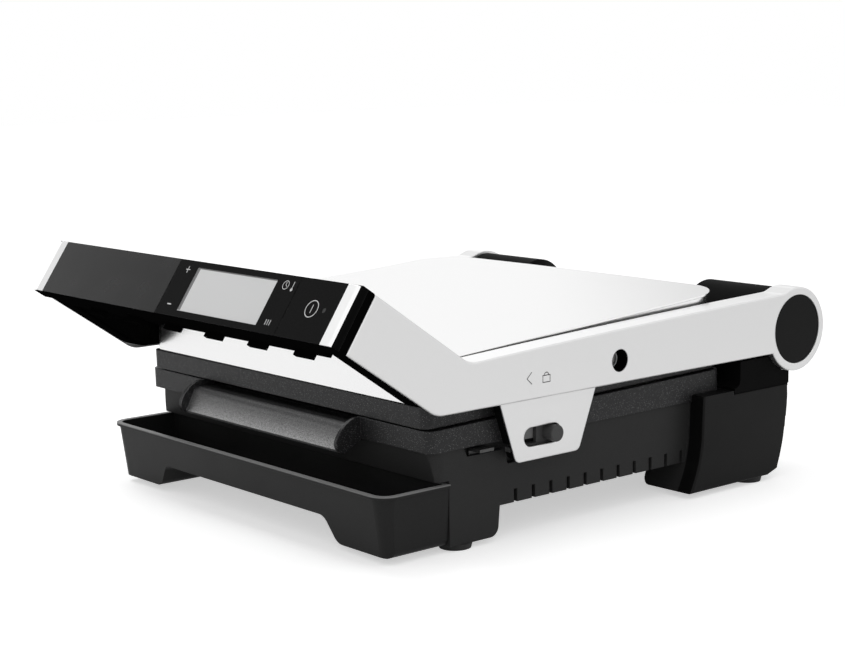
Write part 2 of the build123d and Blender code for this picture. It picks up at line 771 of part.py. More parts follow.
# Heating elements, reflectors and sensors
def element(z):
    """A bent tubular heating element in a flat loop, open at the rear."""
    path = FilletPolyline(
        (-element_gap_x, element_rear, z), (-element_x, element_rear, z), (-element_x, element_front, z),
        (element_x, element_front, z), (element_x, element_rear, z), (element_gap_x, element_rear, z),
        radius=element_bend_r)
    section = Plane(origin=path @ 0, z_dir=path % 0) * Circle(element_r)
    return sweep(section, path=path)


lower_web_z = lower_plate_top - well_depth - plate_web
upper_web_z = upper_plate_z + well_depth + plate_web
lower_element_z = lower_web_z - element_r - seat_gap
upper_element_z = upper_web_z + element_r + seat_gap
keep("lower_heating_element", sloped(element(lower_element_z)))
keep("upper_heating_element", sloped(element(upper_element_z)))


def reflector(grown, z_floor, z_rim):
    """A folded steel pan that throws the heat back at the plate."""
    way = 1 if z_rim > z_floor else -1
    x = well_x - plate_back_in + grown
    front = well_y[0] + plate_back_in - grown
    rear = well_y[1] - plate_back_in + grown
    pan = plan_view(rounded(x, front, rear, pan_r), *sorted((z_floor, z_rim)))
    inner_plan = rounded(x - pan_wall, front + pan_wall, rear - pan_wall, pan_r - pan_wall)
    return sloped(pan - plan_view(inner_plan, *sorted((z_floor + way * pan_wall, z_rim + way * overlap))))


lower_pan_z = lower_element_z - element_r - pan_clear
upper_pan_z = upper_element_z + element_r + pan_clear
upper_rim_z = upper_plate_z + upper_plate_h
keep("lower_reflector", reflector(-pan_in, lower_pan_z, lower_plate_z - seat_gap))
keep("upper_reflector", reflector(pan_over, upper_pan_z, upper_rim_z + seat_gap))


def sensor(y, z_web, z_pan):
    """A thermostat probe held between a plate's back and its reflector."""
    low, high = sorted((z_web, z_pan))
    body = post(sensor_r, 0, y, low + seat_gap, high - seat_gap)
    for side in (-1, 1):
        body += bar(sensor_lead_r, 0, side * (sensor_r + sensor_lead), y, (low + high) / 2)
    return body


sensor_y = (plate_front + plate_rear) / 2
keep("lower_sensor", sloped(sensor(sensor_y, lower_web_z, lower_pan_z + pan_wall)))
keep("upper_sensor", sloped(sensor(sensor_y, upper_web_z, upper_pan_z - pan_wall)))
fuse_y = element_rear - fuse_set
fuse_z = lower_web_z - fuse_r - seat_gap
fuse = bar(fuse_r, -fuse_len / 2, fuse_len / 2, fuse_y, fuse_z)
keep("thermal_fuse", sloped(fuse + bar(fuse_lead_r, -fuse_span / 2, fuse_span / 2, fuse_y, fuse_z)))


# Floating upper housing
cover_x = housing_x + cover_side_over
cover_y = (housing_front - cover_over, housing_rear + cover_over)
cover_start = Vector(0, cover_y[0], cover_front_z)
cover_line = Vector(0, cover_y[1] - cover_y[0], cover_rear_z - cover_front_z)
cover_plane = Plane(origin=cover_start, x_dir=(-1, 0, 0), z_dir=cover_line)


def crowned(sink, depth, plan):
    """A block with the cover's crowned top, lowered by sink and depth deep, trimmed to a plan."""
    side, low, edge = cover_x + overlap, -depth, -sink
    sides = Polyline((-side, edge), (-side, low), (side, low), (side, edge))
    top = ThreePointArc((side, edge), (0, edge + cover_crown), (-side, edge))
    profile = cover_plane * make_face(sides + top)
    return extrude(profile, amount=cover_line.length + depth, both=True) & plan_view(plan, 0, far)


def top_cover():
    """The stainless cover: one crowned sheet with a short skirt."""
    outer = crowned(0, cover_skirt, lid_plan(cover_x, *cover_y, 0))
    inner = crowned(cover_wall, 2 * cover_skirt, lid_plan(cover_x, *cover_y, cover_wall))
    return outer - inner


def upper_housing():
    """The stainless band of the floating housing, cut to the slope of the cover."""
    outer = lid_plan(housing_x, housing_front, housing_rear, 0)
    inner = lid_plan(housing_x, housing_front, housing_rear, housing_wall)
    band = crowned(cover_wall + seat_gap, panel_z, outer) - plan_view(inner, -far, far)
    return band & block((-far, far), (-far, far), (housing_low_z, far))


keep("top_cover", top_cover())
keep("upper_housing", upper_housing())

# Pivot pins and the brackets that hang from them
pin_out = half_width - pivot_head_sink
head_in = pin_out - pivot_head_w
bracket_out = housing_x - housing_wall - seat_gap


def pivot_pin():
    """A shoulder bolt with a hexagon socket, on which the upper housing tilts."""
    pin = bar(pivot_head_r, head_in, pin_out, pivot_y, pivot_z)
    pin += bar(pivot_r, bracket_out - bracket_boss - overlap, head_in, pivot_y, pivot_z)
    socket = Plane.YZ.offset(pin_out - hex_depth) * Pos(pivot_y, pivot_z)
    return pin - extrude(socket * RegularPolygon(hex_across / 2, 6, False), amount=hex_depth)


def pivot_bracket():
    """A folded steel bracket inside the housing, with the bearing boss of one pivot."""
    y = (pivot_y - bracket_long / 2, pivot_y + bracket_long / 2)
    foot_z = upper_pan_z + (y[1] - plate_front) * tan(radians(plate_tilt)) + seat_gap
    bracket = block((bracket_out - bracket_w, bracket_out), y, (foot_z, pivot_z + bracket_rise))
    bracket += block((bracket_out - bracket_foot, bracket_out), y, (foot_z, foot_z + bracket_w))
    bracket += bar(bracket_boss_r, bracket_out - bracket_boss, bracket_out, pivot_y, pivot_z)
    return bracket - bar(pivot_r + shaft_run, 0, half_width, pivot_y, pivot_z)


pair("pivot_pin", pivot_pin())
pair("pivot_bracket", pivot_bracket())
housing = pieces["upper_housing"]
for side in (-1, 1):
    housing -= bar(pivot_r + move_gap, 0, side * half_width, pivot_y, pivot_z)
keep("upper_housing", housing)


# Drip tray
tongue_z = base_low_z + belly_w + move_gap


def tray_view(inset, top):
    """Front view of the tray: drafted side walls and two lobes that reach down beside the feet."""
    def wall_x(z):
        return tray_x - (tray_rim_z - z) / (tray_rim_z - tray_low_z) * (tray_x - tray_low_x) - inset
    low = tray_low_z + inset
    mid = tray_mid_z + inset
    foot_in = tray_lobe_in[0] + inset
    mid_in = tray_lobe_in[1] + inset
    half = [(wall_x(top), top), (wall_x(low), low), (foot_in, low), (mid_in, mid)]
    other = [(-x, z) for x, z in reversed(half)]
    face = make_face(Polyline(*half, *other, half[0]))
    for side in (-1, 1):
        face = fillet(near(face, (side * wall_x(low), low)), tray_round - inset)
        face = fillet(near(face, (side * foot_in, low)), tray_bend_r)
        face = fillet(near(face, (side * mid_in, mid)), tray_bend_r)
    return face


def tray_plan(half_w, front, radius):
    """Plan of the tray or its lip, round at the front corners and running on behind."""
    return rounded(half_w, front, tray_rear + 2 * tray_r, radius)


def drip_tray():
    """The drip tray, with a rolled lip in front and at the sides and two tongues behind."""
    lean = Pos(0, tray_front, tray_rim_z) * Rot(tray_lean, 0, 0) * Pos(0, -tray_front, -tray_rim_z)
    outer = lean * plan_view(tray_plan(tray_x, tray_front, tray_r), -far, far)
    inside = tray_plan(tray_x - tray_wall, tray_front + tray_wall, tray_r - tray_wall)
    inner = lean * plan_view(inside, -far, far)
    lip = plan_view(tray_plan(tray_x + tray_lip, tray_front - tray_lip, tray_r + tray_lip),
                    tray_rim_z - tray_lip_h, tray_rim_z)
    tray = front_view(tray_view(0, tray_rim_z), tray_front, tray_rear) & outer
    tray += lip & block((-far, far), (-far, tray_rear), (0, far))
    tray -= front_view(tray_view(tray_wall, tray_rim_z + overlap), tray_front, tray_rear - tray_wall) & inner
    for side in (-1, 1):
        tray += block((side * tongue_x - tongue_w / 2, side * tongue_x + tongue_w / 2),
                      (tray_rear - tray_wall / 2, tray_rear + tongue_len), (tongue_z, tongue_z + tongue_h))
    return tray


keep("drip_tray", drip_tray())
for side in (-1, 1):
    base -= block((side * tongue_x - tongue_w / 2 - move_gap, side * tongue_x + tongue_w / 2 + move_gap),
                  (tray_step_y - overlap, tray_step_y + base_wall + overlap),
                  (tongue_z - move_gap, tongue_z + tongue_h + move_gap))


# Lock on the right arm
def tab_outline(inset):
    """Side view of the lock tab, a plate that narrows downwards."""
    top_z = arm_low_z + liner_lift - seat_gap
    low_z = tab_low_z + inset
    reach = (top_z - tab_low_z) / (tab_top_z - tab_low_z)
    front_top = tab_low[0] + (tab_top[0] - tab_low[0]) * reach
    rear_top = tab_low[1] + (tab_top[1] - tab_low[1]) * reach
    outline = make_face(Polyline(
        (front_top + inset, top_z), (tab_low[0] + inset, low_z), (tab_low[1] - inset, low_z),
        (rear_top - inset, top_z), (front_top + inset, top_z)))
    for y in tab_low:
        outline = fillet(near(outline, (y, low_z)), tab_r)
    return outline


slot_mid = (slot_front + slot_rear) / 2
knob_travel = knob_rest_y - knob_r - slot_front - move_gap
lock_tab = side_view(tab_outline(0), tab_x - tab_wall, tab_x)
lock_tab -= side_view(Pos(slot_mid, slot_z) * SlotOverall(slot_rear - slot_front, slot_h), 0, half_width)
keep("lock_tab", chamfer(lock_tab.faces().sort_by(Axis.X)[-1].outer_wire().edges(), small_edge))

case_out = tab_x - tab_wall - seat_gap
slider_out = case_out - move_gap - slider_sink
slider_x = (slider_out - slider_w, slider_out)
slider_y = (knob_rest_y - slider_len / 2, knob_rest_y + slider_len / 2)
slider_z = (slot_z - slider_h / 2, slot_z + slider_h / 2)
nose_z = slider_z[0] - nose_drop
case_inside = case_set + lock_case_wall


def lock_case():
    """The black case behind the tab, in which the lock slider runs."""
    case = side_view(tab_outline(case_set), lock_case_x, case_out)
    run_y = (slider_y[0] - knob_travel - move_gap, slider_y[1] + move_gap)
    run = block((slider_x[0] - move_gap, far), run_y, (slider_z[0] - move_gap, slider_z[1] + move_gap))
    mouth_y = (-far, slider_y[0] + nose_root + move_gap)
    mouth = block((-far, far), mouth_y, (nose_z - move_gap, slider_z[0] + nose_root + move_gap))
    return case - (run & side_view(tab_outline(case_inside), 0, half_width)) - mouth


def lock_slider():
    """The slider: a plate under the knob and a nose that reaches forward and inward."""
    body = block(slider_x, slider_y, slider_z)
    for z in (slider_z[0], slider_z[1] - slider_rail):
        body += block((slider_x[0], slider_out + slider_sink), slider_y, (z, z + slider_rail))
    body &= side_view(tab_outline(case_inside + move_gap), 0, half_width)
    neck = block(slider_x, (nose_front, slider_y[0] + nose_root), (nose_z, slider_z[0] + nose_root))
    lead = block(slider_x, (nose_front - overlap, slider_y[0]), (nose_z + nose_h, far))
    nose = block((lock_case_x, slider_x[1]), (nose_front, slider_y[0] - move_gap), (nose_z, nose_z + nose_h))
    return body + (neck - lead) + nose


keep("lock_case", lock_case())
keep("lock_slider", lock_slider())
knob = bar(knob_r, slider_out, knob_tip_x, knob_rest_y, slot_z)
keep("lock_knob", fillet(knob.faces().sort_by(Axis.X)[-1].edges(), 2 * small_edge))

# Keeper on the base, in the recess that the lock nose passes
recess_lean = (base_top_z - recess_ledge_z) / 2
recess = make_face(Polyline(
    (recess_y[0], base_top_z), (recess_y[0] + recess_lean, recess_ledge_z),
    (recess_low_y[0] - recess_lean, recess_ledge_z), (recess_low_y[0], recess_low_z),
    (recess_low_y[1], recess_low_z), (recess_y[1], recess_ledge_z), (recess_y[1], base_top_z),
    (recess_y[0], base_top_z)))
pocket_x = base_x - recess_depth
lining = offset(recess, base_wall, kind=Kind.INTERSECTION)
lining_solid = side_view(lining, pocket_x - base_wall, base_x - overlap)
base += lining_solid & block((0, far), (-far, far), (0, base_top_z))
base -= side_view(recess, pocket_x, half_width)
keeper_z = nose_z + nose_h + 1.5 * move_gap
keeper_x = pocket_x + seat_gap
keeper = block((keeper_x, keeper_tip_x), keeper_y, (keeper_z, keeper_z + keeper_w))
keeper += block((keeper_x, keeper_x + keeper_w), keeper_y, (recess_ledge_z + seat_gap, keeper_z))
keep("lock_keeper", keeper)


# Control panel on the bar that joins the two arms
def control_box():
    """The black housing of the control panel, open in front, with a row of snap tabs below."""
    band_back = -arm_back_set + seat_gap
    neck_x = arm_in - liner_step - seat_gap
    box = on_panel((-half_width, half_width), (0, panel_h), (band_back, 0))
    box = chamfer(box.edges().filter_by(Axis.X), box_edge)
    box += on_panel((-neck_x, neck_x), (0, panel_h), (-box_depth, band_back + overlap))
    trim_side = half_width + seat_gap
    face = (box_rim, panel_h - box_rim)
    box -= on_panel((-trim_side, trim_side), face, (-tile_w - seat_gap, far))
    for side in (-1, 1):
        x = sorted((side * (trim_in_x - seat_gap), side * trim_side))
        box -= on_panel(x, face, (-trim_w - seat_gap, far))
    inside = (box_wall, panel_h - box_wall)
    wide_x = trim_in_x - seat_gap - box_wall
    box -= on_panel((-wide_x, wide_x), inside, (band_back + box_wall, far))
    deep_x = neck_x - box_wall
    box -= on_panel((-deep_x, deep_x), inside, (-box_depth + box_wall, far))
    for number in range(box_tabs):
        x = (number - (box_tabs - 1) / 2) * box_tab_pitch + box_tab_shift
        box += on_panel((x - box_tab_w / 2, x + box_tab_w / 2), (-box_tab_h, overlap), box_tab_back)
    return box


keep("control_box", control_box())
face_y = (box_rim + seat_gap, panel_h - box_rim - seat_gap)
trim_face = trim_in_x - seat_gap + tile_gap / 2


def tile(x0, x1):
    """One gloss tile of the panel's face."""
    return on_panel((x0 + tile_gap / 2, x1 - tile_gap / 2), face_y, (-tile_w, 0))


def end_trim():
    """The silver trim at the right end of the panel, rounded at its outer front edge."""
    trim = on_panel((trim_in_x, half_width), face_y, (-trim_w, 0))
    outer = trim.edges().filter_by(lambda edge: edge.center().X > half_width - small_edge)
    front = outer.sort_by(lambda edge: (edge.center() - panel.origin).dot(panel_out))[-1]
    return fillet(front, trim_r)


keep("panel_tile_left", tile(-trim_face, tile_seams[0]))
keep("panel_tile_display", tile(*tile_seams) - on_panel(window_x, window_y, (-far, far)))
led_hole = panel * post(led_r + seat_gap, *led_at, -tile_w - overlap, overlap)
keep("panel_tile_power", tile(tile_seams[1], trim_face) - led_hole)
pair("panel_trim", end_trim())

pane_x = (window_x[0] + seat_gap, window_x[1] - seat_gap)
pane_y = (window_y[0] + seat_gap, window_y[1] - seat_gap)
keep("display_window", on_panel(pane_x, pane_y, (-tile_w, -tile_w + window_w)))
display_front = -tile_w - seat_gap
display_x = (window_x[0] - display_over, window_x[1] + display_over)
display_y = (box_wall + move_gap, panel_h - box_wall - move_gap)
keep("display_module", on_panel(display_x, display_y, (display_front - display_w, display_front)))


def control_board():
    """The printed board behind the tiles, on six posts, with its chips and key contacts."""
    front = display_front - display_w - seat_gap
    back = front - board_w
    board = on_panel((-board_x, board_x), (box_wall + move_gap, panel_h - box_wall - move_gap), (back, front))
    for x, length in board_chips:
        board += on_panel((x, x + length), (chip_y, chip_y + length), (back - chip_h, back + seat_gap))
    for x in (-board_post_x, 0.0, board_post_x):
        for y in (board_post_y, panel_h - board_post_y):
            board += panel * post(board_post_r, x, y, -box_depth + box_wall + seat_gap, back + seat_gap)
    return board, front


board, board_front = control_board()
keep("control_board", board)
keep("status_led", panel * post(led_r, *led_at, board_front + seat_gap, -led_sink))

# Wiring inside the right arm, from the eye to the control box
cable_off = liner_wall + 2 * seat_gap + cable_r
cable_low = arm_low_z + liner_lift + cable_off
cable_over = pivot_z + pivot_hole_r + cable_r + move_gap
cable_front = panel_point(arm_lift + cable_off, arm_back_set + liner_wall + cable_r)
cable_bend = along_slope(cable_front, cable_low)
cable_rear = (-ring_r - cable_r - move_gap, cable_over)
cable_path = FilletPolyline((cable_x, *cable_rear), (cable_x, pivot_y - cable_rise, cable_over),
                            (cable_x, pivot_y - 2 * cable_rise, cable_low), (cable_x, *cable_bend),
                            (cable_x, *cable_front), radius=cable_bend_r)
cable_section = Plane(origin=cable_path @ 0, z_dir=cable_path % 0) * Circle(cable_r)
keep("arm_cable", sweep(cable_section, path=cable_path))

# Mains inlet side: gland, terminal block and power board
def cord_gland():
    """The gland in the base's rear wall: a sleeve with a flange on each side of the wall."""
    inner_end = base_rear - base_wall - seat_gap
    outer_end = base_rear + seat_gap
    sleeve = Cylinder(gland_r, outer_end - inner_end + 2 * gland_flange)
    collar = Cylinder(gland_r + gland_lip, gland_flange)
    gland = Pos(0, (inner_end + outer_end) / 2) * Rot(90, 0, 0) * sleeve
    for y in (inner_end - gland_flange / 2, outer_end + gland_flange / 2):
        gland += Pos(0, y) * Rot(90, 0, 0) * collar
    gland -= Pos(0, base_rear) * Rot(90, 0, 0) * Cylinder(gland_bore_r, far)
    return Pos(gland_x, 0, gland_z) * gland


keep("cord_gland", cord_gland())
base -= Pos(gland_x, base_rear, gland_z) * Rot(90, 0, 0) * Cylinder(gland_r + seat_gap, 4 * base_wall)

floor_top = base_low_z + belly_w + seat_gap


def terminal_block():
    """The terminal block for the mains lead, with its screw holes."""
    x0 = gland_x - terminal_set - terminal_ways * terminal_pitch
    y1 = base_rear - base_wall - terminal_set
    body = block((x0, x0 + terminal_ways * terminal_pitch), (y1 - terminal_w, y1),
                 (floor_top, floor_top + terminal_h))
    for number in range(terminal_ways):
        x = x0 + (number + 0.5) * terminal_pitch
        body -= post(terminal_hole_r, x, y1 - terminal_w / 2, floor_top + terminal_h / 2, far)
    return body


def power_board():
    """The power board on its posts: two relays, a transformer, a film capacitor and two round ones."""
    low = floor_top + power_post_h
    top = low + board_w
    body = block(power_x, power_y, (low, top))
    for x, y, long, wide, high in power_blocks:
        body += block((x - long / 2, x + long / 2), (y - wide / 2, y + wide / 2),
                      (top - seat_gap, top + high))
    for x, y, radius, high in power_cans:
        body += post(radius, x, y, top - seat_gap, top + high)
    for x in (power_x[0] + power_post_in, power_x[1] - power_post_in):
        for y in (power_y[0] + power_post_in, power_y[1] - power_post_in):
            body += post(board_post_r, x, y, floor_top, low + seat_gap)
    return body


keep("terminal_block", terminal_block())
keep("power_board", power_board())
keep("base_shell", base)

# Save every piece with the origin under the middle of the whole grill
boxes = [shape.bounding_box() for shape in pieces.values()]
shift = -(min(box.min.Y for box in boxes) + max(box.max.Y for box in boxes)) / 2
os.makedirs("parts", exist_ok=True)
for name, shape in pieces.items():
    export_step(Pos(0, shift, 0) * shape, "parts/" + name + ".step")
print("pieces", len(pieces), "hinge axis at y", round(shift, 3), "z", hinge_z)
print("pivot axis at y", round(pivot_y + shift, 3), "z", pivot_z)
print("lock travel", round(knob_travel, 2))
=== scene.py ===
# %% [markdown]
# # A contact grill for the counter
#
# This lesson dresses an electric contact grill: black moulded base, two speckled cast plates, a stainless
# lid that floats in a yoke of two silver arms, and a glossy control panel that is also the handle.
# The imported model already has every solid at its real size. Here each surface gets the material that the
# real piece is made of, and the things too thin to be solids, such as printed marks, are modelled on top.

import json
import math
from types import SimpleNamespace

import bmesh
import bpy
from mathutils import Matrix, Vector


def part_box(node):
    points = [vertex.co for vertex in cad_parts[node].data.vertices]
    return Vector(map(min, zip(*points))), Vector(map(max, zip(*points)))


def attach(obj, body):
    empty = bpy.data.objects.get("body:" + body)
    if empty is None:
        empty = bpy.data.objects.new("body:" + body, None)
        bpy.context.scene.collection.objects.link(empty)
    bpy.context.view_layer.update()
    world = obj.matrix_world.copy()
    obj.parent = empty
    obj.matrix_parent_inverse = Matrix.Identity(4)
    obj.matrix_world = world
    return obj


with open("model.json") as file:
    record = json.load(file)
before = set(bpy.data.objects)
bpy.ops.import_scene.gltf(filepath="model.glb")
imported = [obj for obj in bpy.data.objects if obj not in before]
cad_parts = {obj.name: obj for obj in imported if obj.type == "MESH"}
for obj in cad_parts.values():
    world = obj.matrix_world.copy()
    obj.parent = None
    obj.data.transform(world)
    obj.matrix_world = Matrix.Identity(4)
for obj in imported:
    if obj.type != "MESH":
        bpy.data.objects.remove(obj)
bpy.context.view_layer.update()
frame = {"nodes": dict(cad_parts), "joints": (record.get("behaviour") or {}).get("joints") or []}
nodes = frame["nodes"]
mm = 0.001

# %% [markdown]
# ## Colours and nodes
#
# Colours are written as the hex values that a screen shows. Cycles works in linear light, so one function
# turns them. A second function adds a shader node with its settings, values and links in one call, which
# keeps each material readable. The Mix node has sockets for numbers, vectors and colours with the same
# names, so its colour sockets are found by number.

# %% Colour and node helpers
MIX_SHARE, MIX_FIRST, MIX_SECOND, MIX_RESULT = 0, 6, 7, 2


def tone(code):
    """A screen colour such as #D9D9D9 as linear light."""
    parts = [int(code[place:place + 2], 16) / 255 for place in (1, 3, 5)]
    linear = [part / 12.92 if part <= 0.04045 else ((part + 0.055) / 1.055) ** 2.4 for part in parts]
    return (*linear, 1.0)


def add(owner, kind, values=None, links=None, **settings):
    """One shader node: its settings, its socket values, and the sockets that feed it."""
    tree = owner.node_tree
    made = tree.nodes.new(kind)
    for name, setting in settings.items():
        setattr(made, name, setting)
    for socket, value in (values or {}).items():
        made.inputs[socket].default_value = value
    for socket, source in (links or {}).items():
        tree.links.new(source, made.inputs[socket])
    return made


print("mid grey #808080 is", round(tone("#808080")[0], 3), "in linear light")

# %% [markdown]
# ## The start of every material
#
# Each material begins with a Principled shader whose plain numbers sit on its own sockets. Edges of real
# mouldings and castings are never perfectly sharp. A Bevel node rounds the shading over the last fraction
# of a millimetre, so that each edge catches a thin line of light, and the bumps are laid over that.
# Patterns are placed by Object coordinates, which are metres here. A brushed or rolled finish stretches
# them along one axis.

# %% Start a surface
EDGE_SAMPLES = 6


def feed(surface, socket, source):
    """Let a node drive one socket of the shader."""
    surface.material.node_tree.links.new(source, surface.shader.inputs[socket])


def start(name, colour, roughness, edge, stretch=None, values=None):
    """A material with its shader, its softly rounded edges (millimetres), and the place of each point."""
    material = bpy.data.materials.new(name)
    material.use_nodes = True
    shader = material.node_tree.nodes["Principled BSDF"]
    shader.inputs["Base Color"].default_value = tone(colour)
    shader.inputs["Roughness"].default_value = roughness
    for socket, value in (values or {}).items():
        shader.inputs[socket].default_value = value
    bevel = add(material, "ShaderNodeBevel", {"Radius": edge * mm}, samples=EDGE_SAMPLES).outputs["Normal"]
    where = add(material, "ShaderNodeTexCoord").outputs["Object"]
    if stretch:
        squeezed = [1 / share for share in stretch]
        where = add(material, "ShaderNodeMapping", {"Scale": squeezed}, {"Vector": where}).outputs["Vector"]
    surface = SimpleNamespace(material=material, shader=shader, bevel=bevel, where=where)
    feed(surface, "Normal", bevel)
    return surface


print("a rounded edge is looked at with", EDGE_SAMPLES, "samples")

# %% [markdown]
# ## Tones and grain
#
# Two effects make up nearly every finish. A repaint blends the colour so far towards another one, as some
# value goes from one limit to a second: a noise, a height, or how far a face looks up. A grain is one
# noise whose size is given in millimetres. Its hills can raise the surface, carry the lighter of two
# tones, and vary the sheen. Noise keeps mostly between 0.3 and 0.7, so that range is spread out.

# %% Repaint and grain
def repaint(surface, source, none, full, colour):
    """Blend the base colour towards another, from none of it at one value to all of it at a second."""
    base = surface.shader.inputs["Base Color"]
    limits = {"From Min": none, "From Max": full}
    share = add(surface.material, "ShaderNodeMapRange", limits, {"Value": source})
    values, links = {MIX_SECOND: tone(colour)}, {MIX_SHARE: share.outputs["Result"]}
    if base.is_linked:
        links[MIX_FIRST] = base.links[0].from_socket
    else:
        values[MIX_FIRST] = base.default_value[:]
    mix = add(surface.material, "ShaderNodeMix", values, links, data_type="RGBA")
    feed(surface, "Base Color", mix.outputs[MIX_RESULT])


def grained(surface, size, detail=2, coarse=0.5, depth=None, light=None, sheen=None, middle=(0.3, 0.7)):
    """Cover a surface with one grain. Size and depth are in millimetres, sheen is a range of roughness."""
    material = surface.material
    values = {"Scale": 1 / (size * mm), "Detail": detail, "Roughness": coarse}
    hills = add(material, "ShaderNodeTexNoise", values, {"Vector": surface.where}).outputs["Fac"]
    if depth:
        bump = add(material, "ShaderNodeBump", {"Strength": 1, "Distance": depth * mm},
                   {"Height": hills, "Normal": surface.bevel})
        feed(surface, "Normal", bump.outputs["Normal"])
    if light:
        repaint(surface, hills, *middle, light)
    if sheen:
        values = {"From Min": middle[0], "From Max": middle[1], "To Min": sheen[0], "To Max": sheen[1]}
        rough = add(material, "ShaderNodeMapRange", values, {"Value": hills})
        feed(surface, "Roughness", rough.outputs["Result"])


print("a grain of 0.5 mm is a noise of scale", round(1 / (0.5 * mm)))

# %% [markdown]
# ## Satin anodised aluminium
#
# The arms, the lock tab and the trims at the ends of the panel are blasted with fine beads and clear
# anodised. The blasting leaves pits of about 0.1 mm that blur the reflection evenly in all directions, so
# the eye sees an even silver grey. They are drawn 0.5 mm wide, which is as fine as the picture can hold.
# Handling varies the sheen a little over some 60 mm. The flat top of an arm carries a painted highlight: it
# is coloured brighter than its sides, and the direction that a face looks in tells the material where that
# is. The two limits are the cosines of some 14 and 6 degrees from straight up.

# %% Satin anodised aluminium
NEARLY_UP, QUITE_UP = 0.97, 0.995


def satin_aluminium(name, colour, roughness, edge):
    surface = start(name, colour, roughness, edge, values={"Metallic": 1})
    grained(surface, size=0.5, detail=3, depth=0.004)
    grained(surface, size=60, sheen=(roughness - 0.03, roughness + 0.04))
    return surface


def painted_crest_highlight(surface, colour):
    """Paint a highlight on the faces that look nearly straight up."""
    facing = add(surface.material, "ShaderNodeTexCoord").outputs["Normal"]
    up = add(surface.material, "ShaderNodeSeparateXYZ", links={"Vector": facing}).outputs["Z"]
    repaint(surface, up, NEARLY_UP, QUITE_UP, colour)


aluminium = satin_aluminium("satin_anodised_aluminium", "#E4E4E4", roughness=0.36, edge=1.2)
# painted highlight: the flat tops of the arms are coloured brighter
painted_crest_highlight(aluminium, "#FBFBFB")
bright_trim = satin_aluminium("bright_anodised_aluminium", "#F4F4F4", roughness=0.42, edge=0.5)
print("made", aluminium.material.name, "and", bright_trim.material.name)

# %% [markdown]
# ## Brushed stainless steel
#
# The cover and the band below it are thin stainless sheet. A fine brush runs across the width, so the
# grain is stretched a hundred and twenty times along X. It is less than a thousandth of a millimetre high,
# because this sheet is nearly polished: the eye sees a bright, slightly streaked mirror of the room.

# %% Brushed stainless steel
stainless = start("brushed_stainless_steel", "#F6F6F6", roughness=0.22, edge=0.5, stretch=(120, 1, 1),
                  values={"Metallic": 1})
grained(stainless, size=0.5, detail=3, depth=0.0006, sheen=(0.20, 0.24))
print("made", stainless.material.name)

# %% [markdown]
# ## Moulded black plastic
#
# The base, the towers, the tray and the panel's housing are heat-resistant plastic, moulded in tools whose
# faces are spark eroded. That leaves an even grain of about 0.3 mm and a soft sheen, which varies slowly
# from place to place. The grain is drawn 0.55 mm wide, because a finer one wouldn't show in the picture.
#
# The pieces differ in how black they look. The base and the tray catch some light. The towers' barrels are
# matt and drink it. The arms' liners and the panel's housing are painted shade: a near-black with no sheen
# at all, which stands in for the shade they lie in under the lid and the panel. The caps in the arms' eyes
# are satin, and the lock's knob is a greyer plastic, so that a hand finds it.

# %% Moulded black plastic
def moulded_plastic(name, dark, light, roughness, depth=0.012, shine=0.18):
    values = {"IOR": 1.5, "Specular IOR Level": shine}
    surface = start(name, dark, roughness, edge=0.5, values=values)
    grained(surface, size=0.55, detail=4, coarse=0.6, depth=depth, light=light)
    grained(surface, size=45, sheen=(roughness - 0.04, roughness + 0.05))
    return surface


black = moulded_plastic("moulded_black_plastic", "#1A1A1A", "#212121", roughness=0.42)
shell_black = moulded_plastic("base_black_plastic", "#292929", "#323232", roughness=0.42, shine=0.13)
tray_black = moulded_plastic("tray_black_plastic", "#1E1E1E", "#262626", roughness=0.38, depth=0.01,
                             shine=0.14)
deep_black = moulded_plastic("deep_matt_black_plastic", "#090909", "#0D0D0D", roughness=0.6, shine=0.03)
case_black = moulded_plastic("lock_case_plastic", "#090909", "#0D0D0D", roughness=0.6, shine=0.03)
# painted shade: near-black with no sheen for the arms' liners and the panel's housing
shade_black = moulded_plastic("painted_shade_black_plastic", "#060606", "#0A0A0A", roughness=0.7, shine=0.0)
cap_black = moulded_plastic("satin_black_cap", "#111111", "#151515", roughness=0.34, depth=0.006, shine=0.07)
knob_black = moulded_plastic("grey_black_knob", "#464646", "#4E4E4E", roughness=0.45, depth=0.008)
blacks = [black, shell_black, tray_black, deep_black, case_black, shade_black, cap_black, knob_black]
print("made", len(blacks), "black plastics:", [made.material.name for made in blacks])

# %% [markdown]
# ## Painted shade on the towers, painted light on the rim and the case
#
# Three of these mouldings aren't the same colour all over. The base and the lower halves of its towers are
# one moulding. Where the towers stand out past its sides, the base is painted blacker: painted shade, and
# the grain stays. Along the top edge of the drip tray a thin pale line is a painted highlight. Behind the
# slot of the lock tab, the lock's case is painted pale where the slider runs: painted light in the slot. The
# rim and the slider's run are found from the pieces' own boxes, and the towers start at a known distance
# from the middle, with a ramp of a hundredth of a millimetre so that the change is sharp.

# %% Places that differ
TOWERS_FROM = 162
RIM_FADE_START, RIM_FADE_END = 0.75, 0.25
SLIDER_RUN = 22
HAIRLINE = 0.01


def painted_tower_shade(surface, colour):
    """Paint shade on the base: blacker where it lies further from the middle than its sides."""
    across = add(surface.material, "ShaderNodeSeparateXYZ", links={"Vector": surface.where}).outputs["X"]
    out = add(surface.material, "ShaderNodeMath", links={0: across}, operation="ABSOLUTE").outputs[0]
    repaint(surface, out, TOWERS_FROM * mm, (TOWERS_FROM + HAIRLINE) * mm, colour)


def painted_rim_highlight(surface, node, colour):
    """Paint a highlight: a piece paler over its uppermost half millimetre."""
    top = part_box(node)[1].z
    height = add(surface.material, "ShaderNodeSeparateXYZ", links={"Vector": surface.where}).outputs["Z"]
    repaint(surface, height, top - RIM_FADE_START * mm, top - RIM_FADE_END * mm, colour)


